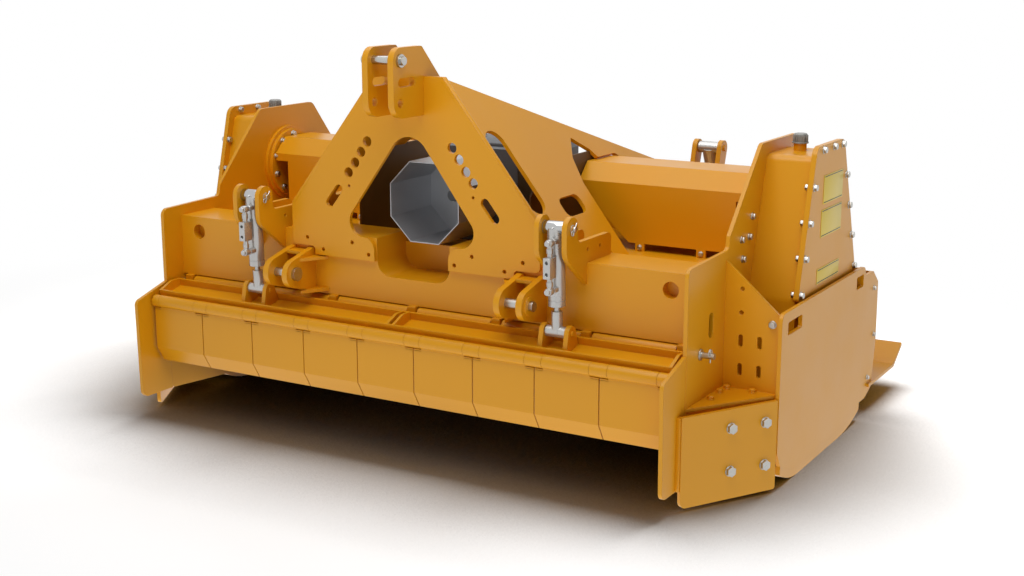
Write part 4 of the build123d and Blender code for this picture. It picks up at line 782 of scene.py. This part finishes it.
def paintFloor(tree):
    shader = tree.nodes["Principled BSDF"]
    feed(tree, shader.inputs["Roughness"], floorLook["roughness"])
    feed(tree, shader.inputs["Specular IOR Level"], 0.0)
    rays = tree.nodes.new("ShaderNodeLightPath").outputs

    # distance from the middle, in footprints
    shares = tree.nodes.new("ShaderNodeVectorMath")
    shares.operation = "DIVIDE"
    feed(tree, shares.inputs[0], tree.nodes.new("ShaderNodeTexCoord").outputs["Object"])
    feed(tree, shares.inputs[1], floorLook["footprint"])
    reach = tree.nodes.new("ShaderNodeVectorMath")
    reach.operation = "LENGTH"
    feed(tree, reach.inputs[0], shares.outputs["Vector"])
    distance = reach.outputs["Value"]

    # painted shadow: the floor's colour darkens by ambient occlusion where things stand close over it
    cover = tree.nodes.new("ShaderNodeAmbientOcclusion")
    cover.samples = floorLook["shadowSamples"]
    feed(tree, cover.inputs["Distance"], floorLook["shadowReach"])
    paintedShadowFactor = mathNode(tree, "POWER", cover.outputs["AO"], floorLook["shadowDepth"])
    colour = tree.nodes.new("ShaderNodeMix")
    feed(tree, colour.inputs["Factor"], rays["Is Camera Ray"])
    feed(tree, colour.inputs["A"], floorLook["bounceColour"])
    feed(tree, colour.inputs["B"], mathNode(tree, "MULTIPLY", paintedShadowFactor, floorLook["colour"]))
    feed(tree, shader.inputs["Base Color"], colour.outputs["Result"])

    # white far off and in mirrors, and a little more as it lights the machine from below
    glow = tree.nodes.new("ShaderNodeEmission")
    gain = mathNode(tree, "MULTIPLY_ADD", rays["Is Diffuse Ray"], floorLook["bounceGain"], 1.0)
    feed(tree, glow.inputs["Strength"], gain)
    farOff = fadeOut(tree, distance, floorLook["near"], floorLook["far"])
    outside = fadeOut(tree, distance, floorLook["bounceNear"], floorLook["bounceFar"])
    seen = mathNode(tree, "MULTIPLY", farOff, rays["Is Camera Ray"])
    bounced = mathNode(tree, "MULTIPLY", outside, rays["Is Diffuse Ray"])
    mirrored = mathNode(tree, "MAXIMUM", rays["Is Glossy Ray"], rays["Is Transmission Ray"])
    white = mathNode(tree, "MAXIMUM", mathNode(tree, "MAXIMUM", seen, bounced), mirrored)
    upperSide = mixShaders(tree, white, shader.outputs["BSDF"], glow.outputs["Emission"])

    # from below, the floor lets the view through to the machine's underside
    facing = tree.nodes.new("ShaderNodeNewGeometry")
    clear = tree.nodes.new("ShaderNodeBsdfTransparent")
    bothFaces = mixShaders(tree, facing.outputs["Backfacing"], upperSide, clear.outputs["BSDF"])
    feed(tree, tree.nodes["Material Output"].inputs["Surface"], bothFaces)


def buildFloor():
    deselectAll()
    bpy.ops.mesh.primitive_plane_add(size=floorLook["size"], location=(0, 0, 0))
    floor = bpy.context.object
    floor.name = "floor"
    material = bpy.data.materials.new("paleFloor")
    material.use_nodes = True
    paintFloor(material.node_tree)
    floor.data.materials.append(material)
    return floor


# light: one soft lamp for the floor, two for the machine, and a pale room

lampLooks = (
    {"name": "floorSoftbox", "size": (4.5, 3.5), "energy": 560, "place": (0.2, 1.5, 5.6), "aim": (0, 0, 0.2),
     "lights": "floorOnly"},
    {"name": "topSoftbox", "size": (5.0, 4.0), "energy": 85, "place": (-0.5, 0.6, 5.6), "aim": (0, 0, 0.4),
     "lights": "machineOnly"},
    {"name": "frontSoftbox", "size": (5.0, 3.0), "energy": 175, "place": (0.7, -2.7, 5.8), "aim": (0, 0, 0.5),
     "lights": "machineOnly"},
)
roomLook = {"colour": (1, 1, 1, 1), "light": 0.12, "seen": 1.0}


def linkLight(name, floor, state):
    # what a lamp lights: the floor alone, or all but the floor
    lit = bpy.data.collections.new(name)
    lit.objects.link(floor)
    lit.collection_objects[0].light_linking.link_state = state
    return lit


def addLamp(look, lit):
    deselectAll()
    bpy.ops.object.light_add(type="AREA", location=look["place"])
    lamp = bpy.context.object
    lamp.name = look["name"]
    lamp.data.shape = "RECTANGLE"
    lamp.data.size, lamp.data.size_y = look["size"]
    lamp.data.energy = look["energy"]
    aim = Vector(look["aim"]) - Vector(look["place"])
    lamp.rotation_euler = aim.to_track_quat("-Z", "Y").to_euler()
    lamp.light_linking.receiver_collection = lit


def buildRoom():
    # a weak even light that the camera and mirrors see as plain white
    world = bpy.data.worlds.new("paleRoom")
    scene.world = world
    world.use_nodes = True
    tree = world.node_tree
    dim = tree.nodes["Background"]
    feed(tree, dim.inputs["Color"], roomLook["colour"])
    feed(tree, dim.inputs["Strength"], roomLook["light"])
    white = tree.nodes.new("ShaderNodeBackground")
    feed(tree, white.inputs["Color"], roomLook["colour"])
    feed(tree, white.inputs["Strength"], roomLook["seen"])
    rays = tree.nodes.new("ShaderNodeLightPath").outputs
    mirrored = mathNode(tree, "MAXIMUM", rays["Is Glossy Ray"], rays["Is Transmission Ray"])
    seen = mathNode(tree, "MAXIMUM", rays["Is Camera Ray"], mirrored)
    room = mixShaders(tree, seen, dim.outputs["Background"], white.outputs["Background"])
    feed(tree, tree.nodes["World Output"].inputs["Surface"], room)


cameraSpot = {"place": (3.0940, -5.2659, 1.8754), "azimuth": 30.371, "elevation": 12.927, "lens": 51.97,
              "sensor": 36.0}


def buildCamera():
    bpy.ops.object.camera_add(location=cameraSpot["place"])
    camera = bpy.context.object
    tilt = math.radians(90 - cameraSpot["elevation"])
    camera.rotation_euler = (tilt, 0, math.radians(cameraSpot["azimuth"]))
    camera.data.lens = cameraSpot["lens"]
    camera.data.sensor_width = cameraSpot["sensor"]
    camera.data.dof.use_dof = False
    scene.camera = camera


floor = buildFloor()
lampReach = {"floorOnly": linkLight("floorOnly", floor, "INCLUDE"),
             "machineOnly": linkLight("machineOnly", floor, "EXCLUDE")}
for look in lampLooks:
    addLamp(look, lampReach[look["lights"]])
buildRoom()
buildCamera()
scene.view_settings.view_transform = "Standard"
print("floor, light and camera set")
